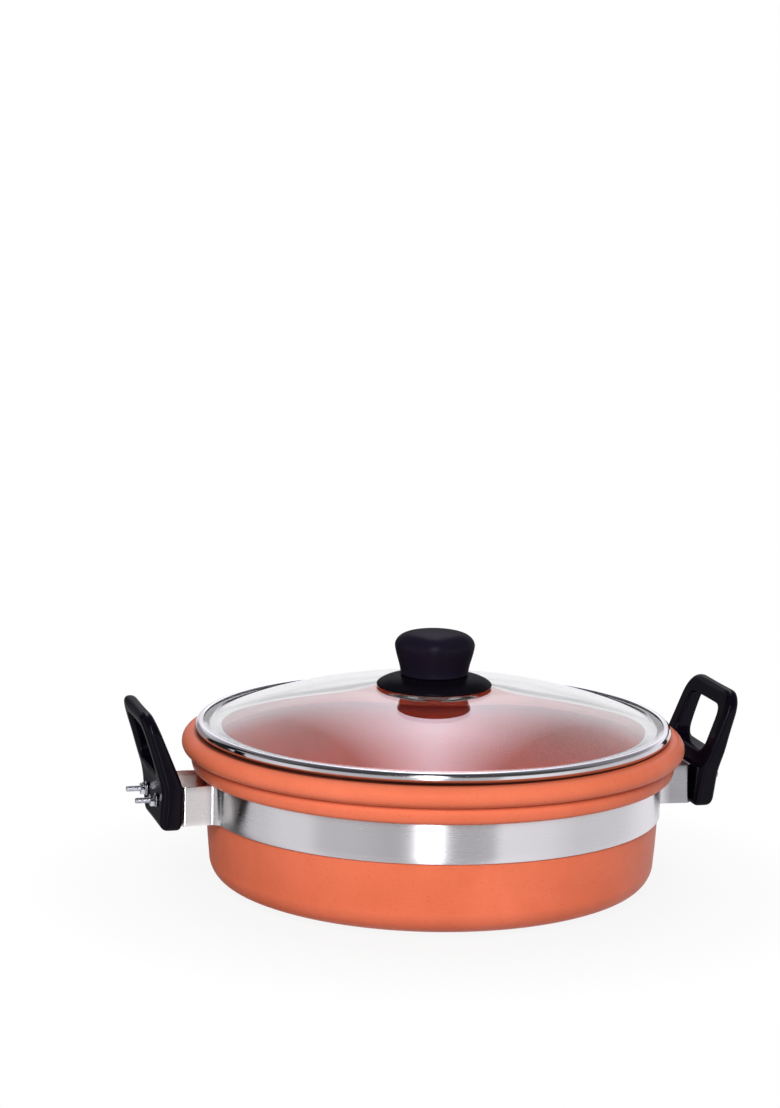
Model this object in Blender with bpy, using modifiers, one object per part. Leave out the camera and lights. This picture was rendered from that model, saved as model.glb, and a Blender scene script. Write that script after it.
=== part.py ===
"""Clay kadai with a steel belt, two moulded side handles and a domed glass lid.

Metres, +Z up, +X towards the right handle, -Y towards the front. The origin is
the centre of the flat base. The lid pieces hang under one empty that lifts
straight up.
"""

import bpy
import bmesh
from math import atan2, ceil, cos, hypot, pi, radians, sin, sqrt, tan

# Gaps
CONTACT_GAP = 0.0003      # left between pieces that touch
HOLE_GAP = 0.0004         # round a bolt or screw in its hole

# Clay pan
PAN_HEIGHT = 0.0785
LIP_RADIUS = 0.127        # widest circle of the pan
MOUTH_RADIUS = 0.1085
MOUTH_EDGE = 0.0020       # rounding where the mouth meets the top of the lip
LIP_DEPTH = 0.0105        # top of the lip down to the groove
LIP_ROUND = 0.0048        # rounding of the outer top edge
GROOVE_DEPTH = 0.0058     # from the widest circle in to the groove
RIDGE_DEPTH = 0.0084      # height of the ridge under the groove
RIDGE_RADIUS = 0.1222
SEAT_RADIUS = 0.1144      # wall that the belt sits on
WALL_TAPER = 0.0016       # how far the wall draws in below the belt
CLAY_THICKNESS = 0.0082
CORNER_RADIUS = 0.012     # tight part of the bottom corner
CORNER_TURN = radians(65)
SOLE_RADIUS = 0.046       # slow curve that runs into the flat base
INNER_ROUND = 0.018       # corner between the inner wall and the floor
PAN_STEPS = 64

# Steel belt, two equal halves
BELT_HEIGHT = 0.020
BELT_THICKNESS = 0.0008
LEG_HALF_SPACING = 0.0184     # outer faces of the two bracket legs
BRACKET_REACH = 0.0189        # belt seat to the outer face of the webs
WEB_GAP = 0.0015              # between the two webs
WEB_BEND = 0.0022             # corner between leg and web
BELT_BEND = 0.0058            # sweep from the belt into the leg

# Moulded handle
HANDLE_DROP = 0.0012          # foot reaches this far below the belt
HANDLE_HEIGHT = 0.0602
HANDLE_FOOT_HALF = 0.0225
HANDLE_SHOULDER_HALF = 0.0325
HANDLE_TOP_HALF = 0.0310
HANDLE_SHOULDER_RISE = 0.027  # bottom of the foot up to the widest place
HANDLE_BAR = 0.0080           # height of the top bar
HANDLE_LEG = 0.0105           # width of the two side bars
OPENING_HEIGHT = 0.0235
HANDLE_BEND_RISE = 0.0215     # bottom of the foot up to the bend
HANDLE_LEAN = radians(21.8)
FOOT_THICKNESS = 0.0108
MIDDLE_THICKNESS = 0.0086
TOP_THICKNESS = 0.0068
HANDLE_EDGE = 0.0028          # rounding of the moulded edges, depth
HANDLE_EDGE_WIDTH = 0.0037    # and how far it runs over the face
HANDLE_FOOT_ROUND = 0.0045
HANDLE_SHOULDER_ROUND = 0.030
HANDLE_TOP_ROUND = 0.0095
OPENING_ROUND = 0.0055

# M3 fasteners of the handles
BOLT_RADIUS = 0.0015
BOLT_INSET = 0.0059           # bolt axis in from the outer face of a leg
BOLT_RISE = 0.0030            # above the middle of the belt
BOLT_HEAD_RADIUS = 0.0028
BOLT_HEAD_HEIGHT = 0.0020
BOLT_CHAMFER = 0.0004
LEFT_BOLT_TAIL = 0.0072       # thread that stands out past the nut
RIGHT_BOLT_TAIL = 0.0016
NUT_HALF_WIDTH = 0.00275      # across flats, half
NUT_HEIGHT = 0.0024
WASHER_RADIUS = 0.0035
WASHER_THICKNESS = 0.0005

# Lid
LID_RADIUS = 0.120
RIM_SHEET = 0.0005
RIM_BEAD = 0.0012             # outer radius of the rolled edges
GLASS_THICKNESS = 0.0040
GLASS_RISE = 0.0181           # dome height above its flat border
BORDER_WIDTH = 0.0065         # flat border of the glass
GLASS_EDGE = 0.0008           # rounding of the cut edge
RIM_COVER = 0.0038            # how far the rim folds over the glass
LOCATOR_DEPTH = 0.0040        # collar that drops into the mouth
LOCATOR_GAP = 0.0018          # between that collar and the mouth
GLASS_HOLE_RADIUS = 0.0046
LID_STEPS = 64

# Knob
SKIRT_RADIUS = 0.0291
SKIRT_HEIGHT = 0.0056
NECK_RADIUS = 0.0172
KNOB_RADIUS = 0.0202
KNOB_HEIGHT = 0.0222
INSERT_RADIUS = 0.0040
INSERT_LENGTH = 0.0120
KNOB_SCREW_RADIUS = 0.0020
KNOB_SCREW_HEAD_RADIUS = 0.0040
KNOB_SCREW_HEAD_HEIGHT = 0.0022
KNOB_WASHER_RADIUS = 0.0080
KNOB_WASHER_THICKNESS = 0.0012
GASKET_RADIUS = 0.0100
GASKET_THICKNESS = 0.0010
KNOB_STEPS = 40
SMALL_STEPS = 20

# Places that follow from the sizes
GROOVE_Z = PAN_HEIGHT - LIP_DEPTH
RIDGE_BOTTOM_Z = GROOVE_Z - RIDGE_DEPTH
BELT_TOP_Z = RIDGE_BOTTOM_Z - CONTACT_GAP
BELT_BOTTOM_Z = BELT_TOP_Z - BELT_HEIGHT
BOLT_Z = (BELT_TOP_Z + BELT_BOTTOM_Z) / 2 + BOLT_RISE
BOLT_HALF_SPACING = LEG_HALF_SPACING - BOLT_INSET
BELT_RADIUS = SEAT_RADIUS + CONTACT_GAP + BELT_THICKNESS / 2
WEB_X = SEAT_RADIUS + BRACKET_REACH
HANDLE_X = WEB_X + CONTACT_GAP
HANDLE_BOTTOM_Z = BELT_BOTTOM_Z - HANDLE_DROP
HANDLE_BEND_Z = HANDLE_BOTTOM_Z + HANDLE_BEND_RISE
HANDLE_SHOULDER_Z = HANDLE_BOTTOM_Z + HANDLE_SHOULDER_RISE
HANDLE_TOP_Z = HANDLE_BOTTOM_Z + HANDLE_HEIGHT
OPENING_TOP_Z = HANDLE_TOP_Z - HANDLE_BAR
OPENING_BOTTOM_Z = OPENING_TOP_Z - OPENING_HEIGHT
RIM_BOTTOM_Z = PAN_HEIGHT + CONTACT_GAP
GLASS_BOTTOM_Z = RIM_BOTTOM_Z + RIM_SHEET + CONTACT_GAP
BORDER_TOP_Z = GLASS_BOTTOM_Z + GLASS_THICKNESS
RIM_TOP_Z = BORDER_TOP_Z + CONTACT_GAP + RIM_SHEET
GLASS_RADIUS = LID_RADIUS - RIM_SHEET - CONTACT_GAP
DOME_EDGE_RADIUS = GLASS_RADIUS - BORDER_WIDTH
GLASS_TOP_Z = BORDER_TOP_Z + GLASS_RISE
DOME_RADIUS = (DOME_EDGE_RADIUS ** 2 + GLASS_RISE ** 2) / (2 * GLASS_RISE)
DOME_CENTRE_Z = GLASS_TOP_Z - DOME_RADIUS
SKIRT_TOP_Z = GLASS_TOP_Z + CONTACT_GAP + SKIRT_HEIGHT
KNOB_BOTTOM_Z = SKIRT_TOP_Z + CONTACT_GAP
KNOB_TOP_Z = KNOB_BOTTOM_Z + KNOB_HEIGHT


def remove_everything():
    for old in list(bpy.data.objects):
        bpy.data.objects.remove(old, do_unlink=True)


def new_collection(name):
    collection = bpy.data.collections.new(name)
    bpy.context.scene.collection.children.link(collection)
    return collection


def new_material(name, colour, roughness, metallic, alpha=1.0):
    material = bpy.data.materials.new(name)
    material.use_nodes = True
    shader = material.node_tree.nodes["Principled BSDF"]
    shader.inputs["Base Color"].default_value = (*colour, 1.0)
    shader.inputs["Roughness"].default_value = roughness
    shader.inputs["Metallic"].default_value = metallic
    shader.inputs["Alpha"].default_value = alpha
    return material


def add_object(name, mesh, material, collection):
    piece = bpy.data.objects.new(name, mesh)
    collection.objects.link(piece)
    if material:
        mesh.materials.append(material)
    return piece


def shade(mesh, angle=35):
    mesh.shade_smooth()
    mesh.set_sharp_from_angle(angle=radians(angle))


def arc(centre, radius, start, end, steps):
    """Points on an arc in the profile plane, angles measured from +X."""
    points = []
    for i in range(steps + 1):
        angle = start + (end - start) * i / steps
        points.append((centre[0] + radius * cos(angle), centre[1] + radius * sin(angle)))
    return points


def turned(name, profile, closed, steps, material, collection):
    """A piece turned round the Z axis from a profile in the XZ plane."""
    mesh = bpy.data.meshes.new(name)
    form = bmesh.new()
    corners = [form.verts.new((x, 0, z)) for x, z in profile]
    for first, second in zip(corners, corners[1:]):
        form.edges.new((first, second))
    if closed:
        form.edges.new((corners[-1], corners[0]))
    form.to_mesh(mesh)
    form.free()
    piece = add_object(name, mesh, material, collection)
    turn = piece.modifiers.new("turn", "SCREW")
    turn.axis = "Z"
    turn.angle = 2 * pi
    turn.steps = steps
    turn.render_steps = steps
    turn.use_merge_vertices = True
    turn.merge_threshold = 0.00001
    turn.use_smooth_shade = True
    return piece


def cylinder(name, radius, length, steps, collection):
    mesh = bpy.data.meshes.new(name)
    form = bmesh.new()
    bmesh.ops.create_cone(form, cap_ends=True, segments=steps, radius1=radius, radius2=radius, depth=length)
    form.to_mesh(mesh)
    form.free()
    return add_object(name, mesh, None, collection)


def cut(piece, cutter):
    cutter.display_type = "WIRE"
    cutter.hide_render = True
    hole = piece.modifiers.new("hole", "BOOLEAN")
    hole.operation = "DIFFERENCE"
    hole.solver = "EXACT"
    hole.object = cutter


def rounded_path(points, radii, steps):
    """A closed polyline whose corners are replaced by short arcs."""
    path = []
    for i, (x, y) in enumerate(points):
        before = points[i - 1]
        after = points[(i + 1) % len(points)]
        in_length = hypot(before[0] - x, before[1] - y)
        out_length = hypot(after[0] - x, after[1] - y)
        ux, uy = (before[0] - x) / in_length, (before[1] - y) / in_length
        vx, vy = (after[0] - x) / out_length, (after[1] - y) / out_length
        half = atan2(abs(ux * vy - uy * vx), ux * vx + uy * vy) / 2
        reach = radii[i] / tan(half)
        middle = radii[i] / sin(half)
        bx, by = ux + vx, uy + vy
        length = hypot(bx, by)
        cx, cy = x + bx / length * middle, y + by / length * middle
        start = atan2(y + uy * reach - cy, x + ux * reach - cx)
        sweep = atan2(y + vy * reach - cy, x + vx * reach - cx) - start
        sweep = (sweep + pi) % (2 * pi) - pi
        path += arc((cx, cy), radii[i], start, start + sweep, steps)
    return path


def build_pan(material, collection):
    inner_radius = SEAT_RADIUS - CLAY_THICKNESS
    wall_radius = SEAT_RADIUS - WALL_TAPER
    sole_drop = SOLE_RADIUS * (1 - sin(CORNER_TURN))
    corner_z = sole_drop + CORNER_RADIUS * sin(CORNER_TURN)
    corner_centre = (wall_radius - CORNER_RADIUS, corner_z)
    sole_x = corner_centre[0] - (SOLE_RADIUS - CORNER_RADIUS) * cos(CORNER_TURN)
    groove_radius = LIP_RADIUS - GROOVE_DEPTH
    inner_z = CLAY_THICKNESS + INNER_ROUND
    mouth_edge_x = MOUTH_RADIUS + MOUTH_EDGE
    lip_round_x = LIP_RADIUS - LIP_ROUND
    profile = [(0, CLAY_THICKNESS), (inner_radius - 2 * INNER_ROUND, CLAY_THICKNESS)]
    profile += arc((inner_radius - WALL_TAPER - INNER_ROUND, inner_z), INNER_ROUND, -pi / 2, 0, 6)
    profile.append((inner_radius, BELT_BOTTOM_Z))
    profile.append((inner_radius, GROOVE_Z))
    profile.append((MOUTH_RADIUS, PAN_HEIGHT - LOCATOR_DEPTH - LOCATOR_GAP))
    profile += arc((mouth_edge_x, PAN_HEIGHT - MOUTH_EDGE), MOUTH_EDGE, pi, pi / 2, 3)
    profile.append(((mouth_edge_x + lip_round_x) / 2, PAN_HEIGHT))
    profile += arc((lip_round_x, PAN_HEIGHT - LIP_ROUND), LIP_ROUND, pi / 2, 0, 5)
    profile.append((LIP_RADIUS - GROOVE_DEPTH * 0.15, GROOVE_Z + LIP_DEPTH * 0.24))
    profile.append((LIP_RADIUS - GROOVE_DEPTH * 0.55, GROOVE_Z + LIP_DEPTH * 0.08))
    profile.append((groove_radius, GROOVE_Z))
    profile.append((RIDGE_RADIUS - 0.0003, GROOVE_Z - RIDGE_DEPTH * 0.14))
    profile.append((RIDGE_RADIUS, GROOVE_Z - RIDGE_DEPTH * 0.34))
    profile.append((RIDGE_RADIUS - 0.0003, GROOVE_Z - RIDGE_DEPTH * 0.62))
    profile.append((RIDGE_RADIUS - 0.0012, GROOVE_Z - RIDGE_DEPTH * 0.86))
    profile.append((RIDGE_RADIUS - 0.0026, RIDGE_BOTTOM_Z))
    profile.append((SEAT_RADIUS, RIDGE_BOTTOM_Z))
    profile.append((SEAT_RADIUS, BELT_BOTTOM_Z - 0.001))
    profile += arc(corner_centre, CORNER_RADIUS, 0, -CORNER_TURN, 6)
    profile += arc((sole_x, SOLE_RADIUS), SOLE_RADIUS, -CORNER_TURN, -pi / 2, 4)[1:]
    profile.append((0, 0))
    return turned("clay_pot", profile, False, PAN_STEPS, material, collection)


def build_belt_half(name, turn, material, collection, cutters):
    """One strap: web, leg, half circle, leg, web. The other half is the same strap turned round."""
    step = 2 * pi / PAN_STEPS
    side = LEG_HALF_SPACING - BELT_THICKNESS / 2
    web_x = WEB_X - BELT_THICKNESS / 2
    sweep_y = side + BELT_BEND
    sweep_x = sqrt((BELT_RADIUS + BELT_BEND) ** 2 - sweep_y ** 2)
    first = ceil((atan2(sweep_y, sweep_x) + step / 8) / step)
    end = [(web_x, -WEB_GAP / 2)]
    end += arc((web_x - WEB_BEND, WEB_BEND - side), WEB_BEND, 0, -pi / 2, 4)
    end += arc((sweep_x, -sweep_y), BELT_BEND, pi / 2, pi - atan2(sweep_y, sweep_x), 6)
    path = list(end)
    for i in range(first, PAN_STEPS // 2 - first + 1):
        path.append((BELT_RADIUS * cos(i * step), -BELT_RADIUS * sin(i * step)))
    path += [(-x, y) for x, y in reversed(end)]
    mesh = bpy.data.meshes.new(name)
    form = bmesh.new()
    low = [form.verts.new((x, y, BELT_BOTTOM_Z)) for x, y in path]
    high = [form.verts.new((x, y, BELT_TOP_Z)) for x, y in path]
    for i in range(len(path) - 1):
        form.faces.new((low[i], low[i + 1], high[i + 1], high[i]))
    form.to_mesh(mesh)
    form.free()
    shade(mesh)
    strap = add_object(name, mesh, material, collection)
    sheet = strap.modifiers.new("sheet", "SOLIDIFY")
    sheet.thickness = BELT_THICKNESS
    sheet.offset = 0
    sheet.use_even_offset = True
    for sign in (-1, 1):
        cutter = cylinder(name + "_cutter", BOLT_RADIUS + HOLE_GAP, BRACKET_REACH, SMALL_STEPS, cutters)
        cutter.parent = strap
        cutter.rotation_euler = (0, pi / 2, 0)
        cutter.location = (sign * WEB_X, -BOLT_HALF_SPACING, BOLT_Z)
        cut(strap, cutter)
    strap.rotation_euler = (0, 0, turn)
    return strap


def bar_thickness(z):
    """Thickness of the handle from its inner to its outer face at a height."""
    middle_z = (OPENING_TOP_Z + OPENING_BOTTOM_Z) / 2
    if z <= HANDLE_BEND_Z:
        return FOOT_THICKNESS
    if z <= middle_z:
        share = (z - HANDLE_BEND_Z) / (middle_z - HANDLE_BEND_Z)
        return FOOT_THICKNESS + (MIDDLE_THICKNESS - FOOT_THICKNESS) * share
    share = (z - middle_z) / (HANDLE_TOP_Z - middle_z)
    return MIDDLE_THICKNESS + (TOP_THICKNESS - MIDDLE_THICKNESS) * share


def inner_face(z):
    """How far the inner face stands out from the web at a height."""
    return max(0.0, z - HANDLE_BEND_Z) * tan(HANDLE_LEAN)


def refined(path, longest):
    """The closed path with its long edges divided."""
    finer = []
    for i, (x, y) in enumerate(path):
        nx, ny = path[(i + 1) % len(path)]
        parts = max(1, ceil(hypot(nx - x, ny - y) / longest))
        for part in range(parts):
            finer.append((x + (nx - x) * part / parts, y + (ny - y) * part / parts))
    return finer


def hit(path, centre, angle):
    """Where a ray from the centre meets the closed path."""
    dx, dy = cos(angle), sin(angle)
    for i, (x, y) in enumerate(path):
        nx, ny = path[(i + 1) % len(path)]
        ex, ey = nx - x, ny - y
        cross = dx * ey - dy * ex
        if abs(cross) < 1e-12:
            continue
        along = ((x - centre[0]) * ey - (y - centre[1]) * ex) / cross
        share = ((x - centre[0]) * dy - (y - centre[1]) * dx) / cross
        if along > 0 and -1e-6 <= share <= 1 + 1e-6:
            return (centre[0] + dx * along, centre[1] + dy * along)
    return centre


def build_handle(name, turn, material, collection, cutters):
    """A moulded loop: sections stand between the finger opening and the outer edge."""
    outline = [(HANDLE_FOOT_HALF, HANDLE_BOTTOM_Z), (HANDLE_SHOULDER_HALF, HANDLE_SHOULDER_Z),
               (HANDLE_TOP_HALF, HANDLE_TOP_Z), (-HANDLE_TOP_HALF, HANDLE_TOP_Z),
               (-HANDLE_SHOULDER_HALF, HANDLE_SHOULDER_Z), (-HANDLE_FOOT_HALF, HANDLE_BOTTOM_Z)]
    rounds = [HANDLE_FOOT_ROUND, HANDLE_SHOULDER_ROUND, HANDLE_TOP_ROUND]
    outer = refined(rounded_path(outline, rounds + rounds[::-1], 3), HANDLE_LEG)
    low_half = HANDLE_SHOULDER_HALF - HANDLE_LEG
    high_half = HANDLE_TOP_HALF - HANDLE_LEG
    opening = [(low_half, OPENING_BOTTOM_Z), (high_half, OPENING_TOP_Z),
               (-high_half, OPENING_TOP_Z), (-low_half, OPENING_BOTTOM_Z)]
    inner = rounded_path(opening, [OPENING_ROUND] * 4, 6)
    centre = (0, (OPENING_TOP_Z + OPENING_BOTTOM_Z) / 2)
    mesh = bpy.data.meshes.new(name)
    form = bmesh.new()
    rings = []
    for y, z in outer:
        near = hit(inner, centre, atan2(z - centre[1], y))
        width = hypot(y - near[0], z - near[1])
        soft = min(HANDLE_EDGE_WIDTH / width, 0.45)
        third = soft + (1 - 2 * soft) / 3
        slight = soft * (1 - cos(pi / 4))
        inset = HANDLE_EDGE * (1 - cos(pi / 4))
        places = [(soft, 1, 0), (third, 1, 0), (1 - third, 1, 0), (1 - soft, 1, 0), (1 - slight, 1, inset),
                  (1, 1, HANDLE_EDGE), (1, 0, HANDLE_EDGE), (1 - slight, 0, inset), (1 - soft, 0, 0),
                  (1 - third, 0, 0), (third, 0, 0), (soft, 0, 0), (slight, 0, inset), (0, 0, HANDLE_EDGE),
                  (0, 1, HANDLE_EDGE), (slight, 1, inset)]
        section = []
        for share, outside, depth in places:
            py = near[0] + (y - near[0]) * share
            pz = near[1] + (z - near[1]) * share
            x = inner_face(pz) + depth
            if outside:
                x = inner_face(pz) + bar_thickness(pz) - depth
            section.append(form.verts.new((HANDLE_X + x, py, pz)))
        rings.append(section)
    for i, section in enumerate(rings):
        following = rings[(i + 1) % len(rings)]
        for j in range(len(section)):
            k = (j + 1) % len(section)
            form.faces.new((section[j], section[k], following[k], following[j]))
    form.to_mesh(mesh)
    form.free()
    shade(mesh, 50)
    handle = add_object(name, mesh, material, collection)
    for sign in (-1, 1):
        cutter = cylinder(name + "_cutter", BOLT_RADIUS + HOLE_GAP, 4 * FOOT_THICKNESS, SMALL_STEPS, cutters)
        cutter.parent = handle
        cutter.rotation_euler = (0, pi / 2, 0)
        cutter.location = (HANDLE_X, sign * BOLT_HALF_SPACING, BOLT_Z)
        cut(handle, cutter)
    handle.rotation_euler = (0, 0, turn)
    return handle


def build_fasteners(side, turn, tail, material, collection, cutters):
    """Bolts from inside the bracket, washers and nuts on the outer face of the handle."""
    washer_x = HANDLE_X + FOOT_THICKNESS + CONTACT_GAP
    nut_x = washer_x + WASHER_THICKNESS + CONTACT_GAP
    head_x = WEB_X - BELT_THICKNESS - CONTACT_GAP
    tip_x = nut_x + NUT_HEIGHT + tail
    hole = BOLT_RADIUS + HOLE_GAP
    for place, sign in (("front", -1), ("rear", 1)):
        if side == "left":
            sign = -sign
        y = sign * BOLT_HALF_SPACING
        length = tip_x - head_x
        profile = [(0, length), (BOLT_RADIUS - BOLT_CHAMFER, length), (BOLT_RADIUS, length - BOLT_CHAMFER),
                   (BOLT_RADIUS, 0), (BOLT_HEAD_RADIUS, 0), (BOLT_HEAD_RADIUS, -BOLT_HEAD_HEIGHT * 0.6),
                   (BOLT_HEAD_RADIUS * 0.8, -BOLT_HEAD_HEIGHT), (0, -BOLT_HEAD_HEIGHT)]
        name = side + "_" + place
        bolt = turned(name + "_bolt", profile, False, SMALL_STEPS, material, collection)
        bolt.rotation_euler = (0, pi / 2, turn)
        bolt.location = (cos(turn) * head_x, cos(turn) * y, BOLT_Z)
        profile = [(hole, WASHER_THICKNESS), (WASHER_RADIUS, WASHER_THICKNESS), (WASHER_RADIUS, 0), (hole, 0)]
        washer = turned(name + "_washer", profile, True, SMALL_STEPS, material, collection)
        washer.rotation_euler = (0, pi / 2, turn)
        washer.location = (cos(turn) * washer_x, cos(turn) * y, BOLT_Z)
        mesh = bpy.data.meshes.new(name + "_nut")
        form = bmesh.new()
        corner = NUT_HALF_WIDTH / cos(pi / 6)
        bmesh.ops.create_cone(form, cap_ends=True, segments=6, radius1=corner, radius2=corner, depth=NUT_HEIGHT)
        form.to_mesh(mesh)
        form.free()
        nut = add_object(name + "_nut", mesh, material, collection)
        cutter = cylinder(name + "_nut_cutter", hole, 3 * NUT_HEIGHT, SMALL_STEPS, cutters)
        cutter.parent = nut
        cut(nut, cutter)
        nut.rotation_euler = (0, pi / 2, turn)
        nut.location = (cos(turn) * (nut_x + NUT_HEIGHT / 2), cos(turn) * y, BOLT_Z)


def dome(radius, offset):
    """Height of the glass, or of a surface a distance above it, at a radius."""
    return DOME_CENTRE_Z + sqrt((DOME_RADIUS + offset) ** 2 - radius ** 2)


def build_lid_ring(material, collection):
    outside = LID_RADIUS
    fold = outside - RIM_COVER
    channel_z = RIM_BOTTOM_Z + RIM_SHEET
    locator = MOUTH_RADIUS - LOCATOR_GAP
    bead_x = outside - RIM_BEAD
    inner_bead = RIM_BEAD - RIM_SHEET
    profile = [(fold, RIM_TOP_Z)]
    profile += arc((bead_x, RIM_TOP_Z - RIM_BEAD), RIM_BEAD, pi / 2, 0, 3)
    profile += arc((bead_x, RIM_BOTTOM_Z + RIM_BEAD), RIM_BEAD, 0, -pi / 2, 3)
    profile += [(locator, RIM_BOTTOM_Z), (locator, PAN_HEIGHT - LOCATOR_DEPTH),
                (locator - RIM_SHEET, PAN_HEIGHT - LOCATOR_DEPTH), (locator - RIM_SHEET, channel_z)]
    profile += arc((bead_x, RIM_BOTTOM_Z + RIM_BEAD), inner_bead, -pi / 2, 0, 3)
    profile += arc((bead_x, RIM_TOP_Z - RIM_BEAD), inner_bead, 0, pi / 2, 3)
    profile.append((fold, RIM_TOP_Z - RIM_SHEET))
    return turned("lid_ring", profile, True, LID_STEPS, material, collection)


def build_lid_glass(material, collection):
    steps = 7
    edge = GLASS_EDGE
    under_radius = sqrt((DOME_RADIUS - GLASS_THICKNESS) ** 2 - (GLASS_BOTTOM_Z - DOME_CENTRE_Z) ** 2)
    profile = []
    for i in range(steps + 1):
        radius = GLASS_HOLE_RADIUS + (DOME_EDGE_RADIUS - GLASS_HOLE_RADIUS) * i / steps
        profile.append((radius, dome(radius, 0)))
    profile += arc((GLASS_RADIUS - edge, BORDER_TOP_Z - edge), edge, pi / 2, 0, 2)
    profile += arc((GLASS_RADIUS - edge, GLASS_BOTTOM_Z + edge), edge, 0, -pi / 2, 2)
    for i in range(steps, -1, -1):
        radius = GLASS_HOLE_RADIUS + (under_radius - GLASS_HOLE_RADIUS) * i / steps
        profile.append((radius, dome(radius, -GLASS_THICKNESS)))
    return turned("lid_glass", profile, True, LID_STEPS, material, collection)


def build_knob(materials, collection):
    hole = KNOB_SCREW_RADIUS + HOLE_GAP
    tip = SKIRT_RADIUS
    profile = [(hole, SKIRT_TOP_Z), (NECK_RADIUS, SKIRT_TOP_Z)]
    for share, drop in ((0.70, 0.10), (0.84, 0.27), (0.94, 0.46), (0.99, 0.62), (1.0, 0.74), (0.985, 0.87)):
        profile.append((tip * share, SKIRT_TOP_Z - SKIRT_HEIGHT * drop))
    for share in (0.94, 0.62, 0.30):
        profile.append((tip * share, dome(tip * share, CONTACT_GAP)))
    profile.append((hole, dome(hole, CONTACT_GAP)))
    skirt = turned("knob_skirt", profile, True, KNOB_STEPS, materials["skirt"], collection)

    bore = INSERT_RADIUS + CONTACT_GAP
    bore_top = KNOB_BOTTOM_Z + INSERT_LENGTH + 2 * CONTACT_GAP
    profile = [(0, KNOB_TOP_Z), (KNOB_RADIUS * 0.45, KNOB_TOP_Z - KNOB_HEIGHT * 0.012)]
    for share, drop in ((0.76, 0.045), (0.91, 0.105), (0.98, 0.19), (1.0, 0.30), (0.985, 0.43)):
        profile.append((KNOB_RADIUS * share, KNOB_TOP_Z - KNOB_HEIGHT * drop))
    for share, drop in ((0.55, 0.62), (0.18, 0.80), (0.0, 0.93), (0.02, 1.0)):
        radius = NECK_RADIUS + (KNOB_RADIUS - NECK_RADIUS) * share
        profile.append((radius, KNOB_TOP_Z - KNOB_HEIGHT * drop))
    profile += [(bore, KNOB_BOTTOM_Z), (bore, bore_top), (0, bore_top)]
    knob = turned("knob", profile, False, KNOB_STEPS, materials["knob"], collection)

    insert_z = KNOB_BOTTOM_Z + CONTACT_GAP
    waist = INSERT_RADIUS - 0.0005
    profile = [(hole, insert_z + INSERT_LENGTH), (INSERT_RADIUS, insert_z + INSERT_LENGTH),
               (INSERT_RADIUS, insert_z + INSERT_LENGTH * 0.6), (waist, insert_z + INSERT_LENGTH * 0.55),
               (waist, insert_z + INSERT_LENGTH * 0.45), (INSERT_RADIUS, insert_z + INSERT_LENGTH * 0.4),
               (INSERT_RADIUS, insert_z), (hole, insert_z)]
    insert = turned("knob_insert", profile, True, SMALL_STEPS, materials["brass"], collection)

    under_z = GLASS_TOP_Z - GLASS_THICKNESS - CONTACT_GAP
    collar = GLASS_HOLE_RADIUS - CONTACT_GAP
    gasket_z = under_z - GASKET_THICKNESS
    collar_top = GLASS_TOP_Z - 0.0006
    profile = [(hole, collar_top), (collar, collar_top), (collar, under_z)]
    profile += [(GASKET_RADIUS, dome(GASKET_RADIUS, -GLASS_THICKNESS - CONTACT_GAP)),
                (GASKET_RADIUS, gasket_z), (hole, gasket_z)]
    gasket = turned("knob_gasket", profile, True, SMALL_STEPS, materials["gasket"], collection)

    washer_z = gasket_z - CONTACT_GAP - KNOB_WASHER_THICKNESS
    washer_top = washer_z + KNOB_WASHER_THICKNESS
    profile = [(hole, washer_top), (KNOB_WASHER_RADIUS, washer_top), (KNOB_WASHER_RADIUS, washer_z), (hole, washer_z)]
    washer = turned("knob_washer", profile, True, SMALL_STEPS, materials["steel"], collection)

    head_z = washer_z - CONTACT_GAP
    tip_z = insert_z + INSERT_LENGTH * 0.85
    profile = [(0, tip_z), (KNOB_SCREW_RADIUS - 0.0005, tip_z), (KNOB_SCREW_RADIUS, tip_z - 0.0005),
               (KNOB_SCREW_RADIUS, head_z), (KNOB_SCREW_HEAD_RADIUS, head_z),
               (KNOB_SCREW_HEAD_RADIUS * 0.95, head_z - KNOB_SCREW_HEAD_HEIGHT * 0.6),
               (KNOB_SCREW_HEAD_RADIUS * 0.6, head_z - KNOB_SCREW_HEAD_HEIGHT), (0, head_z - KNOB_SCREW_HEAD_HEIGHT)]
    screw = turned("knob_screw", profile, False, SMALL_STEPS, materials["steel"], collection)
    return [skirt, knob, insert, gasket, washer, screw]


remove_everything()
main = new_collection("clay_kadai")
cutter_collection = new_collection("cutters")
clay = new_material("terracotta", (0.62, 0.20, 0.10), 0.75, 0.0)
belt_steel = new_material("belt_steel", (0.72, 0.72, 0.73), 0.22, 1.0)
rim_steel = new_material("rim_steel", (0.74, 0.74, 0.75), 0.15, 1.0)
handle_black = new_material("handle_black", (0.010, 0.009, 0.012), 0.30, 0.0)
zinc = new_material("zinc_steel", (0.62, 0.64, 0.66), 0.30, 1.0)
glass = new_material("lid_glass", (0.90, 0.94, 0.93), 0.03, 0.0, 0.35)
knob_materials = {
    "knob": new_material("knob_black", (0.012, 0.011, 0.014), 0.38, 0.0),
    "skirt": new_material("skirt_black", (0.010, 0.010, 0.012), 0.32, 0.0),
    "brass": new_material("insert_brass", (0.60, 0.45, 0.18), 0.35, 1.0),
    "gasket": new_material("gasket_rubber", (0.55, 0.55, 0.54), 0.60, 0.0),
    "steel": new_material("screw_steel", (0.66, 0.67, 0.68), 0.28, 1.0),
}

build_pan(clay, main)
build_belt_half("front_belt_half", 0, belt_steel, main, cutter_collection)
build_belt_half("rear_belt_half", pi, belt_steel, main, cutter_collection)
for hand, heading, bolt_tail in (("right", 0, RIGHT_BOLT_TAIL), ("left", pi, LEFT_BOLT_TAIL)):
    build_handle(hand + "_handle", heading, handle_black, main, cutter_collection)
    build_fasteners(hand, heading, bolt_tail, zinc, main, cutter_collection)

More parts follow.
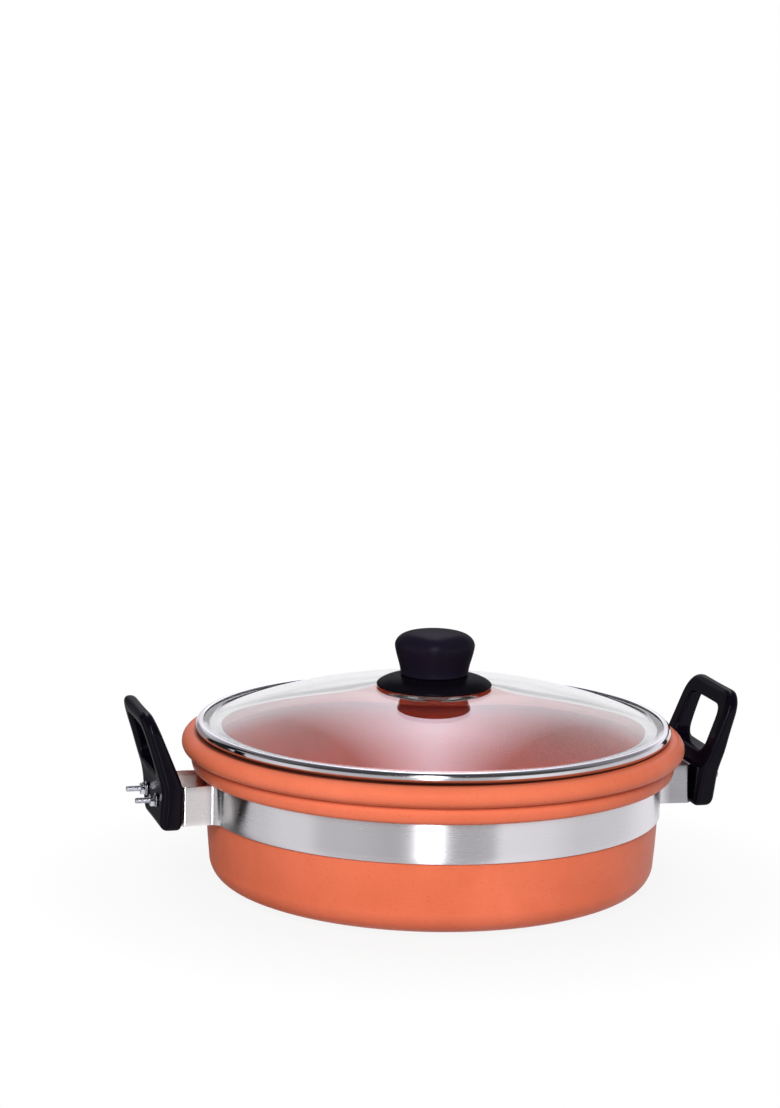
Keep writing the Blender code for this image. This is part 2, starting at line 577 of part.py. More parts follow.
lid = bpy.data.objects.new("lid_lift", None)
lid.location = (0, 0, RIM_BOTTOM_Z)
main.objects.link(lid)
lid_pieces = [build_lid_ring(rim_steel, main), build_lid_glass(glass, main)]
lid_pieces += build_knob(knob_materials, main)
for lid_piece in lid_pieces:
    lid_piece.parent = lid
    lid_piece.location = (0, 0, -RIM_BOTTOM_Z)
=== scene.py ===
# %% [markdown]
# # A clay kadai with a glass lid
# The real object is a shallow terracotta pan with a thick rounded lip. A steel
# belt is clamped round it under the lip, two black moulded handles are bolted to
# the belt, and a domed glass lid in a steel rim rests on the lip.
# Each step below makes one piece or one finish of it, in metres, in the same
# frame as the CAD model, so that nothing has to be fitted afterwards.

# %% Load the frame
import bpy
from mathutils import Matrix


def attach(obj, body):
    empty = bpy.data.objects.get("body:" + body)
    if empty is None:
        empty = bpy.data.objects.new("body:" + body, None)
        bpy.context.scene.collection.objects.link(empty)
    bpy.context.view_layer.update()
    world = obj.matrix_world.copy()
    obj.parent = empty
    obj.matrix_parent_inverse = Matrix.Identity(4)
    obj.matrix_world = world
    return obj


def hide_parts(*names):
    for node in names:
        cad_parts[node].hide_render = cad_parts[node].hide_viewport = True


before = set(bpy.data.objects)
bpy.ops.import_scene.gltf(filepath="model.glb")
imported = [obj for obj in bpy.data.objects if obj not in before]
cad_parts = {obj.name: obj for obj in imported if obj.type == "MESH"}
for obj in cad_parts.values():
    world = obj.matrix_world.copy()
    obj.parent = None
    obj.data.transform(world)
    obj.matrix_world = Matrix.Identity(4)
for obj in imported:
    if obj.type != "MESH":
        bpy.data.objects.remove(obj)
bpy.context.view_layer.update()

# %% Blender modules and the unit
import bmesh
import bpy
from math import atan2, ceil, cos, degrees, hypot, pi, radians, sin, sqrt, tan
from mathutils import Matrix, Vector

MM = 0.001
GAP = 0.3          # between pieces that touch, in mm
print("unit:", MM, "m, gap:", GAP, "mm")

# %% [markdown]
# ## Turned pieces
# The pan, the glass, its rim, the knob and all the small round parts are turned
# shapes. They could be made with the Screw modifier. Here bmesh rings are joined
# directly, so that a ring may also be toothed or grooved, which knurls and screw
# threads need. A radius is a number, or a function of the angle.

# %% Rings joined to a skin
def joined_rings(rings, steps, closed=False):
    """Rings are (radius, height) in mm, where the radius may be a function of the angle."""
    form = bmesh.new()
    rows = []
    for radius, height in rings:
        if not callable(radius) and radius < 0.0001:
            rows.append([form.verts.new((0, 0, height * MM))])
            continue
        row = []
        for i in range(steps):
            angle = 2 * pi * i / steps
            reach = radius(angle) if callable(radius) else radius
            rise = height(angle) if callable(height) else height
            x, y = reach * cos(angle) * MM, reach * sin(angle) * MM
            row.append(form.verts.new((x, y, rise * MM)))
        rows.append(row)
    pairs = list(zip(rows, rows[1:]))
    if closed:
        pairs.append((rows[-1], rows[0]))
    for low, high in pairs:
        for i in range(steps):
            k = (i + 1) % steps
            corners = [low[i % len(low)], low[k % len(low)],
                       high[k % len(high)], high[i % len(high)]]
            form.faces.new(list(dict.fromkeys(corners)))
    bmesh.ops.recalc_face_normals(form, faces=form.faces)
    return form


def arc(x, z, radius, start, end, steps):
    """Points on an arc, angles in degrees from +X."""
    turns = [radians(start + (end - start) * i / steps) for i in range(steps + 1)]
    return [(x + radius * cos(turn), z + radius * sin(turn)) for turn in turns]


print("a ring of 4:", arc(0, 0, 1, 0, 270, 3)[1])

# %% [markdown]
# A soft outline, such as the lip or the knob, is a smooth curve through a few
# measured points. A Catmull-Rom curve passes through every one of them, which a
# Bezier or a subdivision surface would not.

# %% A curve through measured points
def flowing(points, parts):
    """A Catmull-Rom curve through the points, each stretch cut in equal parts."""
    ends = [points[0]] + list(points) + [points[-1]]
    curve = []
    for a, b, c, d in zip(ends, ends[1:], ends[2:], ends[3:]):
        for i in range(parts):
            t = i / parts
            curve.append(tuple(
                0.5 * (2 * q + (r - p) * t + (2 * p - 5 * q + 4 * r - s) * t ** 2
                       + (3 * q - p - 3 * r + s) * t ** 3)
                for p, q, r, s in zip(a, b, c, d)))
    curve.append(tuple(points[-1]))
    return curve


print("points on a flowing curve:", len(flowing([(0, 0), (1, 1), (2, 0)], 4)))

# %% [markdown]
# Every piece is handed over in the same way: a mesh with smooth faces and sharp
# creases, a material, the CAD node it stands for and the body it rides on. One
# function does all of this, so that no piece can be forgotten.

# %% Hand a piece over
def place(name, form, material, node, body, crease=40):
    mesh = bpy.data.meshes.new(name)
    form.to_mesh(mesh)
    form.free()
    mesh.shade_smooth()
    mesh.set_sharp_from_angle(angle=radians(crease))
    mesh.materials.append(material)
    piece = bpy.data.objects.new(name, mesh)
    bpy.context.scene.collection.objects.link(piece)
    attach(piece, body)
    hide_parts(node)
    print(name, "-", len(mesh.vertices), "points")
    return piece


# %% [markdown]
# ## The camera
# The photograph looks down at the pan by about 13 degrees, from a little to the
# left of its front, with the frame turned by one degree. The place and the lens
# come from matching the widest circles and the handles of the model to it.

# %% Camera
LENS = 102.41
CAMERA_PLACE = (-0.43023, -1.50039, 0.42475)
CAMERA_TURN = (1.4082, -0.0178, -0.2613)
camera_data = bpy.data.cameras.new("camera")
camera_data.sensor_fit = "VERTICAL"
camera_data.sensor_height = 36
camera_data.lens = LENS
camera = bpy.data.objects.new("camera", camera_data)
bpy.context.scene.collection.objects.link(camera)
camera.location = CAMERA_PLACE
camera.rotation_euler = CAMERA_TURN
bpy.context.scene.camera = camera
print("camera at", tuple(round(v, 3) for v in camera.location))

# %% [markdown]
# ## Small tools for node trees
# The world and the materials are trees of nodes. A few helpers add a node, do a
# sum or move a value from one range into another. A tree could be clicked
# together by hand, but written like this it reads like a formula.

# %% Helpers for node trees
def new_group(name, inputs, outputs):
    group = bpy.data.node_groups.new(name, "ShaderNodeTree")
    for label, value in inputs:
        socket = group.interface.new_socket(label, in_out="INPUT", socket_type="NodeSocketFloat")
        socket.default_value = value
    for label in outputs:
        group.interface.new_socket(label, in_out="OUTPUT", socket_type="NodeSocketFloat")
    return group, group.nodes.new("NodeGroupInput"), group.nodes.new("NodeGroupOutput")


def settle(node, **values):
    """Set input sockets, with _ for each space of their names."""
    for label, value in values.items():
        node.inputs[label.replace("_", " ")].default_value = value


def add(tree, kind, **settings):
    node = tree.nodes.new("ShaderNode" + kind)
    for key, value in settings.items():
        if key in node.inputs:
            node.inputs[key].default_value = value
        else:
            setattr(node, key, value)
    return node


def maths(tree, operation, first, second):
    """A Math node, whose two inputs are sockets or numbers."""
    node = add(tree, "Math", operation=operation)
    for i, value in enumerate((first, second)):
        if isinstance(value, (int, float)):
            node.inputs[i].default_value = value
        else:
            tree.links.new(value, node.inputs[i])
    return node.outputs[0]


def times(tree, first, second):
    return maths(tree, "MULTIPLY", first, second)


def use_group(tree, group, **values):
    node = tree.nodes.new("ShaderNodeGroup")
    node.node_tree = group
    settle(node, **values)
    return node


def blend_colour(tree, mask, first, second):
    """A colour between two, by a mask. Each is a socket or three numbers."""
    node = tree.nodes.new("ShaderNodeMix")
    node.data_type = "RGBA"
    tree.links.new(mask, node.inputs["Factor"])
    for key, value in (("A", first), ("B", second)):
        socket = [s for s in node.inputs if s.name == key and s.type == "RGBA"][0]
        if isinstance(value, tuple):
            socket.default_value = (*value, 1)
        else:
            tree.links.new(value, socket)
    return [s for s in node.outputs if s.type == "RGBA"][0]


def ranged(tree, value, low, high, out_low, out_high):
    """A value moved from one range into another, held at its ends."""
    node = add(tree, "MapRange")
    settle(node, From_Min=low, From_Max=high, To_Min=out_low, To_Max=out_high)
    tree.links.new(value, node.inputs["Value"])
    return node.outputs["Result"]


print("shader helpers ready")

# %% [markdown]
# ## Studio light
# Two soft boxes light the pan: a large one by the camera, from which the clay
# darkens evenly towards both sides, and a smaller, stronger one above and behind,
# which throws the lid's shadow on the lip. Area lamps were chosen because their
# shadows are soft at the edge, as those of a sun lamp or a point lamp are not.
# Both are kept out of reflections, where their square shapes would show.

# %% Soft boxes
AIM = Vector((0, 0, 0.06))       # the middle of the pan


def soft_box(name, place_at, side, radiance):
    """A square area lamp of a given brightness, turned to the pan."""
    lamp = bpy.data.lights.new(name, "AREA")
    lamp.shape = "SQUARE"
    lamp.size = side
    lamp.energy = radiance * pi * side * side
    box = bpy.data.objects.new(name, lamp)
    bpy.context.scene.collection.objects.link(box)
    box.location = place_at
    box.rotation_euler = (Vector(place_at) - AIM).to_track_quat("Z", "Y").to_euler()
    box.visible_camera = False
    box.visible_transmission = False
    box.visible_glossy = False


soft_box("box_front", (-0.695, -2.14, 1.36), 1.0, 18.2)
soft_box("box_over", (0.30, 1.15, 2.14), 0.6, 4.0)

# %% [markdown]
# The world fills the shadows with an even grey. The camera, and rays that pass
# through the glass, see it as pure white, as the photograph's background is.
# Mirror rays see a studio: a pale table with darker and lighter sheets on it by
# heading, a dark room above it in front, a paler one behind with a black panel in
# it, a tall strip light beside the camera and a soft violet glow behind the pan.
# Steel, glass and black plastic have hardly any look of their own, so this is what
# they are drawn with.
#
# A lamp's light isn't found through glass, which a renderer takes for solid when
# it looks for a lamp. Rays that leave the inside of the pan through the glass
# see a wide soft light overhead instead. It lights the floor of the pan, and from
# there the walls glow a deep red.

# %% World: directions of a mirror ray
world = bpy.data.worlds.new("studio")
bpy.context.scene.world = world
world.use_nodes = True
world.cycles.sampling_method = "NONE"
sky = world.node_tree
sky.nodes.clear()
FRONT = (-0.2756, -0.9613, 0)          # from the pan towards the camera
FRONT_RIGHT = (0.9613, -0.2756, 0)
OVER = (0.124, 0.476, 0.871)           # to the upper soft box
toward = add(sky, "TexCoord")


def along(vector):
    """How far a ray points along a direction, from -1 to 1."""
    node = add(sky, "VectorMath", operation="DOT_PRODUCT")
    node.inputs[1].default_value = vector
    sky.links.new(toward.outputs["Generated"], node.inputs[0])
    return node.outputs["Value"]


def between(value, start, full, last, end):
    """A mask that rises from start to full and falls from last to end."""
    rising = ranged(sky, value, start, full, 0, 1)
    return times(sky, rising, ranged(sky, value, last, end, 1, 0))


heading = times(sky, maths(sky, "ARCTAN2", along(FRONT_RIGHT), along(FRONT)), 180 / pi)
height = times(sky, maths(sky, "ARCSINE", along((0, 0, 1)), 0), 180 / pi)
print("headings and heights in degrees")

# %% World: the pieces of the studio
SHEETS = [(-180, 0.95), (-165, 0.95), (-159, 0.34), (-131, 0.34), (-128, 0.02), (-113, 0.02),
          (-110, 0.80), (-92, 0.82), (-80, 0.98), (-62, 0.98), (-58, 0.70), (-40, 0.74),
          (-19, 0.62), (19, 0.62), (32, 0.64), (34, 1.16), (60, 1.08), (80, 0.85),
          (110, 0.85), (131, 1.05), (180, 0.95)]      # heading in degrees, brightness
RAMP_TOP = 2.0           # brightness that the ramp's 1 stands for
TABLE_END = 12           # height in degrees up to which only the table shows
ROOM_START = 26          # and from which only the room shows
STRIP, GLOW, VEIL = 17.0, 4.2, 0.5      # how bright each is
sheets = add(sky, "ValToRGB")
stops = sheets.color_ramp.elements
while len(stops) > 1:
    stops.remove(stops[-1])
for i, (angle, bright) in enumerate(SHEETS):
    share = (angle + 180) / 360
    stop = stops[0] if i == 0 else stops.new(share)
    stop.position = share
    stop.color = (*[bright / RAMP_TOP] * 3, 1)
sky.links.new(ranged(sky, heading, -180, 180, 0, 1), sheets.inputs["Fac"])
low_down = ranged(sky, height, TABLE_END, ROOM_START, 1, 0)
high_up = ranged(sky, height, TABLE_END, ROOM_START, 0, 1)
table = times(sky, times(sky, sheets.outputs["Color"], RAMP_TOP), low_down)
room = times(sky, ranged(sky, along(FRONT), 0.1, -0.3, 0.08, 0.30), high_up)
panel = between(heading, -132, -127, -114, -109)
room = times(sky, room, maths(sky, "SUBTRACT", 1.0, panel))
strip = maths(sky, "POWER", between(heading, -14, -1, 1, 12), 3.0)
strip = times(sky, strip, between(height, -60, -50, 50, 55))
strip = times(sky, strip, ranged(sky, height, 5, 15, 0.18, 1))
turned = maths(sky, "ABSOLUTE", heading, 0)
glow = times(sky, ranged(sky, turned, 167, 179, 0, 1), between(height, 14, 40, 58, 70))
veil = times(sky, ranged(sky, turned, 130, 150, 0, 1), between(height, 10, 16, 18, 34))
level = maths(sky, "ADD", table, room)
for part, strength in ((strip, STRIP), (glow, GLOW), (veil, VEIL)):
    level = maths(sky, "ADD", level, times(sky, part, strength))
print("sheets in the mirror world:", len(SHEETS))

# %% World: join the three kinds of ray
FILL = 0.19              # even light in the shadows
OVERHEAD = 4.3           # light that falls into the pan through the glass
rays = add(sky, "LightPath")
through = rays.outputs["Is Transmission Ray"]
fill = add(sky, "Background", Color=(1, 1, 1, 1))
inside = times(sky, ranged(sky, along(OVER), 0.64, 0.88, 0, 1), through)
sky.links.new(maths(sky, "ADD", times(sky, inside, OVERHEAD), FILL), fill.inputs["Strength"])
white = add(sky, "Background", Color=(1, 1, 1, 1), Strength=1.0)
studio = add(sky, "Background")
behind = times(sky, ranged(sky, turned, 140, 160, 0, 1), ranged(sky, height, 10, 26, 0, 1))
tint = blend_colour(sky, behind, (0.985, 0.96, 1.0), (0.99, 0.94, 1.09))
sky.links.new(tint, studio.inputs["Color"])
sky.links.new(level, studio.inputs["Strength"])
sky_out = add(sky, "OutputWorld")


def switch(mask, first, second):
    node = add(sky, "MixShader")
    sky.links.new(mask, node.inputs["Fac"])
    sky.links.new(first, node.inputs[1])
    sky.links.new(second, node.inputs[2])
    return node.outputs[0]


# a direct ray is one that no matt surface has scattered yet
direct = maths(sky, "LESS_THAN", rays.outputs["Diffuse Depth"], 0.5)
seen = maths(sky, "MAXIMUM", rays.outputs["Is Camera Ray"], through)
mirrored = times(sky, rays.outputs["Is Glossy Ray"], direct)
lit = switch(mirrored, fill.outputs[0], studio.outputs[0])
looked_at = switch(times(sky, seen, direct), lit, white.outputs[0])
sky.links.new(looked_at, sky_out.inputs["Surface"])
bpy.context.scene.view_settings.view_transform = "Standard"
print("world ready")

# %% [markdown]
# ## Shared effects
# Several finishes need the same effects: grain, brush marks and worn edges. Each
# effect is a node group that is built once and put into every material with its
# own values. The groups give out only masks and heights. The shader itself stays
# in the material.
#
# Grain is the fine unevenness that fired clay and moulded plastic both have. It
# could be one noise, but real grain has two sizes: a broad patchiness that shows
# in the colour and a fine one that catches the light. The group gives both.

# %% Group: grain
grain, grain_in, grain_out = new_group(
    "grain", [("Patch Scale", 18), ("Grain Scale", 900)], ["Patches", "Specks", "Height"])
where = add(grain, "TexCoord")
patches = add(grain, "TexNoise", Detail=5, Roughness=0.6, Distortion=0.3)
fine = add(grain, "TexNoise", Detail=3, Roughness=0.65)
grain.links.new(where.outputs["Object"], patches.inputs["Vector"])
grain.links.new(where.outputs["Object"], fine.inputs["Vector"])
grain.links.new(grain_in.outputs["Patch Scale"], patches.inputs["Scale"])
grain.links.new(grain_in.outputs["Grain Scale"], fine.inputs["Scale"])
broad = ranged(grain, patches.outputs["Fac"], 0.33, 0.67, 0, 1)
grain.links.new(broad, grain_out.inputs["Patches"])
specks = ranged(grain, fine.outputs["Fac"], 0.60, 0.72, 0, 1)
grain.links.new(specks, grain_out.inputs["Specks"])
grain.links.new(fine.outputs["Fac"], grain_out.inputs["Height"])
print("group:", grain.name)

# %% [markdown]
# Worn edges: handling polishes or pales the places that stand out, and the
# hollows are darkened, which in the clay is painted shade. Pointiness tells how
# sharp the surface is at a place, so no mask has to be painted. It needs meshes
# with enough points, which these have.

# %% Group: worn edges
wear, wear_in, wear_out = new_group("worn_edges", [("Reach", 0.06)], ["Edges", "Hollows"])
shape = add(wear, "NewGeometry")
wear_where = add(wear, "TexCoord")
scuffs = add(wear, "TexNoise", Scale=160, Detail=4)
wear.links.new(wear_where.outputs["Object"], scuffs.inputs["Vector"])
above = maths(wear, "SUBTRACT", shape.outputs["Pointiness"], 0.5)
edge_mask = maths(wear, "DIVIDE", above, wear_in.outputs["Reach"])
below = times(wear, edge_mask, -1.0)
broken = times(wear, ranged(wear, edge_mask, 0, 1, 0, 1), scuffs.outputs["Fac"])
wear.links.new(broken, wear_out.inputs["Edges"])
wear.links.new(ranged(wear, below, 0, 1, 0, 1), wear_out.inputs["Hollows"])
print("group:", wear.name)

# %% [markdown]
# Brush marks: sheet steel is ground along its length, which leaves long fine
# lines. A noise that is stretched along the strip and squeezed across it gives
# them. Across is always Z here, because belt and rim both lie level.

# %% Group: brush marks
brush, brush_in, brush_out = new_group(
    "brush_marks", [("Line Scale", 1500), ("Length Scale", 14)], ["Lines", "Smears"])
brush_where = add(brush, "TexCoord")
split = add(brush, "SeparateXYZ")
combine = add(brush, "CombineXYZ")
brush.links.new(brush_where.outputs["Object"], split.inputs[0])
for axis, scale in (("X", "Length Scale"), ("Y", "Length Scale"), ("Z", "Line Scale")):
    scaled = times(brush, split.outputs[axis], brush_in.outputs[scale])
    brush.links.new(scaled, combine.inputs[axis])
lines = add(brush, "TexNoise", Scale=1, Detail=3, Roughness=0.7)
smears = add(brush, "TexNoise", Scale=26, Detail=4, Roughness=0.55)
brush.links.new(combine.outputs[0], lines.inputs["Vector"])
brush.links.new(brush_where.outputs["Object"], smears.inputs["Vector"])
brush.links.new(lines.outputs["Fac"], brush_out.inputs["Lines"])
brush.links.new(ranged(brush, smears.outputs["Fac"], 0.4, 0.7, 0, 1), brush_out.inputs["Smears"])
print("group:", brush.name)

# %% [markdown]
# ## Terracotta
# Fired clay is orange-red, patchy from the kiln, a little darker in its hollows
# and paler where it was rubbed smooth. Fine level rings stay from the turning.
# The rings are a wave along Z that a noise disturbs, and they only go to the
# bump, because the real ones are felt more than seen.
#
# Under the rim of the lid the clay is painted nearly black: a painted shadow of the
# rim on the lip. A band by the distance from the axis draws it, for the lid is round
# as well. The top of the inner wall is painted a little darker too, painted shade.

# %% Material: terracotta
def new_material(name):
    material = bpy.data.materials.new(name)
    material.use_nodes = True
    tree = material.node_tree
    return material, tree, tree.nodes["Principled BSDF"]


def bumped(tree, shader, height, strength, distance):
    bump = add(tree, "Bump", Strength=strength, Distance=distance)
    tree.links.new(height, bump.inputs["Height"])
    tree.links.new(bump.outputs[0], shader.inputs["Normal"])


CLAY, PALE_CLAY = (0.80, 0.168, 0.077), (0.92, 0.206, 0.103)
SPECK, DUST, SHADE = (0.56, 0.118, 0.060), (0.92, 0.34, 0.21), (0.34, 0.070, 0.035)
# colour of the painted shadow under the lid rim and the painted shade on the inner wall
SHADOW_DARK = (0.030, 0.010, 0.008)
SHADOW_SHIFT = (0.0013, 0.0002, 0)      # moves the painted shadow a little to the left, so the band is wider there
terracotta, tree, shader = new_material("terracotta")
skin = use_group(tree, grain, Patch_Scale=15, Grain_Scale=750)
worn = use_group(tree, wear, Reach=0.05)
patchy = skin.outputs["Patches"]
kiln = blend_colour(tree, patchy, CLAY, PALE_CLAY)
specked = blend_colour(tree, times(tree, skin.outputs["Specks"], 0.5), kiln, SPECK)
dusty = blend_colour(tree, times(tree, worn.outputs["Edges"], 0.6), specked, DUST)
deep = blend_colour(tree, times(tree, worn.outputs["Hollows"], 0.65), dusty, SHADE)
tree.links.new(ranged(tree, patchy, 0, 1, 0.72, 0.56), shader.inputs["Roughness"])
settle(shader, Specular_IOR_Level=0.15, Coat_Roughness=0.36)
tree.links.new(ranged(tree, patchy, 0, 1, 0.20, 0.30), shader.inputs["Coat Weight"])
turning = add(tree, "TexWave", Scale=230, Distortion=2.0, Detail=2)
turning.bands_direction = "Z"
clay_where = add(tree, "TexCoord").outputs["Object"]
tree.links.new(clay_where, turning.inputs["Vector"])
shadow_centre = add(tree, "VectorMath", operation="MULTIPLY_ADD")
shadow_centre.inputs[1].default_value = (1, 1, 0)
shadow_centre.inputs[2].default_value = SHADOW_SHIFT
tree.links.new(clay_where, shadow_centre.inputs[0])
from_axis = add(tree, "VectorMath", operation="LENGTH")
tree.links.new(shadow_centre.outputs[0], from_axis.inputs[0])
reach = from_axis.outputs["Value"]
clay_split = add(tree, "SeparateXYZ")
tree.links.new(clay_where, clay_split.inputs[0])
rise = clay_split.outputs["Z"]
# painted shadow of the lid rim on the lip, a band by the distance from the axis
painted_shade_mask = times(tree, ranged(tree, reach, 0.1184, 0.1202, 1, 0),
             ranged(tree, reach, 0.1090, 0.1165, 0, 1))
painted_shade_mask = times(tree, painted_shade_mask, ranged(tree, rise, 0.0765, 0.0775, 0, 1))
# painted shade on the top of the inner wall
painted_wall_shade = times(tree, ranged(tree, reach, 0.1100, 0.1150, 0.45, 0),
                ranged(tree, rise, 0.040, 0.074, 0, 1))
painted_shade_mask = maths(tree, "MAXIMUM", painted_shade_mask, painted_wall_shade)
painted_shade_mask = times(tree, painted_shade_mask, ranged(tree, patchy, 0, 1, 0.97, 0.80))
tree.links.new(blend_colour(tree, painted_shade_mask, deep, SHADOW_DARK), shader.inputs["Base Color"])
relief = maths(tree, "ADD", times(tree, turning.outputs["Fac"], 0.25), skin.outputs["Height"])
bumped(tree, shader, relief, 0.22, 0.0004)
print("material:", terracotta.name)

# %% [markdown]
# ## Steel
# The belt and the lid rim are stainless sheet. The belt is brushed along its
# length, so a reflection smears across it, up and down, and keeps sharp sides:
# that is what anisotropy does. Its direction is the level line of the surface,
# the cross product of "up" and the normal, which is right on belt and legs alike.
# The rim is polished and mirrors cleanly. The zinc of the bolts is duller and
# slightly cloudy. All share one recipe, which takes a pale and a dark tone, the
# least and greatest roughness, lines per metre, relief in metres and stretch.
# The brackets of the belt are painted: the left one lighter, painted light,
# the right one darker, painted shade.

# %% Materials: belt, rim, fasteners, brass
def metal(name, pale, dark, smooth, rough, line_scale, depth, stretch):
    material, tree, shader = new_material(name)
    marks = use_group(tree, brush, Line_Scale=line_scale, Length_Scale=14)
    worn = use_group(tree, wear, Reach=0.08)
    tone = blend_colour(tree, marks.outputs["Smears"], dark, pale)
    # the steel is made darker in its hollows
    hollow_dark = tuple(v * 0.55 for v in dark)
    tone = blend_colour(tree, times(tree, worn.outputs["Hollows"], 0.5), tone, hollow_dark)
    tree.links.new(tone, shader.inputs["Base Color"])
    mixed = maths(tree, "ADD", times(tree, marks.outputs["Lines"], 0.6),
                  times(tree, marks.outputs["Smears"], 0.4))
    tree.links.new(ranged(tree, mixed, 0.2, 0.8, smooth, rough), shader.inputs["Roughness"])
    settle(shader, Metallic=1.0, Anisotropic=stretch, Anisotropic_Rotation=0.25)
    level_line = add(tree, "VectorMath", operation="CROSS_PRODUCT")
    level_line.inputs[0].default_value = (0, 0, 1)
    tree.links.new(add(tree, "NewGeometry").outputs["Normal"], level_line.inputs[1])
    tree.links.new(level_line.outputs[0], shader.inputs["Tangent"])
    bumped(tree, shader, marks.outputs["Lines"], 0.06, depth)
    print("material:", name)
    return material


belt_steel = metal("belt_steel", (0.76, 0.76, 0.77), (0.70, 0.70, 0.71),
                   0.25, 0.33, 1700, 0.00002, 1.0)
rim_steel = metal("rim_steel", (0.70, 0.70, 0.71), (0.60, 0.60, 0.62),
                  0.08, 0.16, 900, 0.00003, 0.2)
zinc_steel = metal("zinc_steel", (0.80, 0.82, 0.86), (0.62, 0.64, 0.68),
                   0.20, 0.34, 2600, 0.00004, 0.0)
screw_steel = metal("screw_steel", (0.66, 0.66, 0.68), (0.52, 0.52, 0.54),
                    0.18, 0.30, 2600, 0.00003, 0.0)
insert_brass = metal("insert_brass", (0.72, 0.52, 0.22), (0.52, 0.36, 0.14),
                     0.22, 0.40, 2200, 0.00004, 0.0)

# %% Belt steel: painted light on the left bracket, painted shade on the right
LIT_STEEL_PAINT, SHADED_STEEL_PAINT = (0.98, 0.96, 0.93), (0.36, 0.355, 0.37)
tree = belt_steel.node_tree
shader = tree.nodes["Principled BSDF"]
rolled = shader.inputs["Base Color"].links[0].from_socket
belt_split = add(tree, "SeparateXYZ")
tree.links.new(add(tree, "TexCoord").outputs["Object"], belt_split.inputs[0])
across = belt_split.outputs["X"]
# the left bracket's steel is painted lighter: painted light
left = blend_colour(tree, ranged(tree, across, -0.117, -0.121, 0, 1), rolled, LIT_STEEL_PAINT)
# the right bracket's steel is painted darker: painted shade
painted_brackets = blend_colour(tree, ranged(tree, across, 0.117, 0.122, 0, 1), left, SHADED_STEEL_PAINT)
tree.links.new(painted_brackets, shader.inputs["Base Color"])
print("bracket tones added to", belt_steel.name)

# %% [markdown]
# ## Black moulded plastic
# Handles and knob are a hard heat-proof plastic, near black with a violet cast.
# It comes from the mould with a faint orange peel, and its edges turn grey with
# use. The gloss could be the plastic's own, but then every face turns white where
# it is seen edge-on. A thin coat of low weight stays dark there, as the real one.

# %% Materials: handles, knob, skirt
def moulded(name, colour, rubbed, gloss, blur, grain_scale, depth):
    material, tree, shader = new_material(name)
    skin = use_group(tree, grain, Patch_Scale=34, Grain_Scale=grain_scale)
    worn = use_group(tree, wear, Reach=0.10)
    patchy = skin.outputs["Patches"]
    cloudy = blend_colour(tree, patchy, colour, tuple(v * 1.5 for v in colour))
    edged = blend_colour(tree, times(tree, worn.outputs["Edges"], 0.30), cloudy, rubbed)
    coat = ranged(tree, patchy, 0, 1, gloss * 1.15, gloss * 0.85)
    tree.links.new(edged, shader.inputs["Base Color"])
    tree.links.new(ranged(tree, patchy, 0, 1, 0.45, 0.60), shader.inputs["Roughness"])
    tree.links.new(coat, shader.inputs["Coat Weight"])
    settle(shader, Coat_Roughness=blur, Specular_IOR_Level=0.0)
    bumped(tree, shader, skin.outputs["Height"], 0.16, depth)
    print("material:", name)
    return material


handle_black = moulded("handle_black", (0.0026, 0.0018, 0.0050), (0.022, 0.019, 0.029),
                       0.17, 0.12, 1100, 0.00004)
knob_black = moulded("knob_black", (0.0085, 0.0065, 0.0140), (0.026, 0.022, 0.033),
                     0.095, 0.28, 1300, 0.00010)
skirt_black = moulded("skirt_black", (0.0034, 0.0029, 0.0048), (0.022, 0.019, 0.027),
                      0.10, 0.26, 1100, 0.00008)

# %% [markdown]
# ## Glass and silicone
# The lid is clear toughened glass, a little green in its thickness. It is plain
# transmission with the refraction of glass, and its roughness carries faint
# smears from wiping. The gasket is milky silicone, which lets a little light in.

# %% Materials: lid glass, gasket
lid_glass, tree, shader = new_material("lid_glass")
wiped = use_group(tree, grain, Patch_Scale=22, Grain_Scale=420)
clear = blend_colour(tree, wiped.outputs["Patches"], (0.965, 0.985, 0.978), (0.975, 0.988, 0.984))
tree.links.new(clear, shader.inputs["Base Color"])
tree.links.new(ranged(tree, wiped.outputs["Patches"], 0, 1, 0.0, 0.02), shader.inputs["Roughness"])
settle(shader, Metallic=0.0, Transmission_Weight=1.0, IOR=1.5)

gasket_rubber, tree, shader = new_material("gasket_rubber")
milky = use_group(tree, grain, Patch_Scale=60, Grain_Scale=1500)
tree.links.new(blend_colour(tree, milky.outputs["Patches"], (0.52, 0.52, 0.50), (0.62, 0.62, 0.60)),
               shader.inputs["Base Color"])
tree.links.new(ranged(tree, milky.outputs["Patches"], 0, 1, 0.50, 0.64), shader.inputs["Roughness"])
settle(shader, Subsurface_Weight=0.15, Subsurface_Radius=(0.002, 0.002, 0.002))
bumped(tree, shader, milky.outputs["Height"], 0.1, 0.0001)
print("materials:", lid_glass.name, gasket_rubber.name)

# %% [markdown]
# ## The clay pan
# One thick turned shell: a flat floor, a wall that widens a little, a rounded
# lip with a groove under it and a narrower ridge below the groove. It is thrown
# on a wheel, and here too it is an outline turned about the axis. The outline
# runs from the middle of the floor up the inside, over the lip and down again.

# %% Pan sizes
PAN_TOP = 78.5
LIP_RADIUS = 127
MOUTH_RADIUS = 108.5
SEAT_RADIUS = 114.4          # wall under the belt
INNER_RADIUS = 106.2
BELT_HEIGHT = 20
FLOOR = 8.2
GROOVE_Z = 68.0
RIDGE_BOTTOM = 59.6
BELT_TOP = RIDGE_BOTTOM - GAP
BELT_BOTTOM = BELT_TOP - BELT_HEIGHT
print("belt from", BELT_BOTTOM, "to", BELT_TOP)

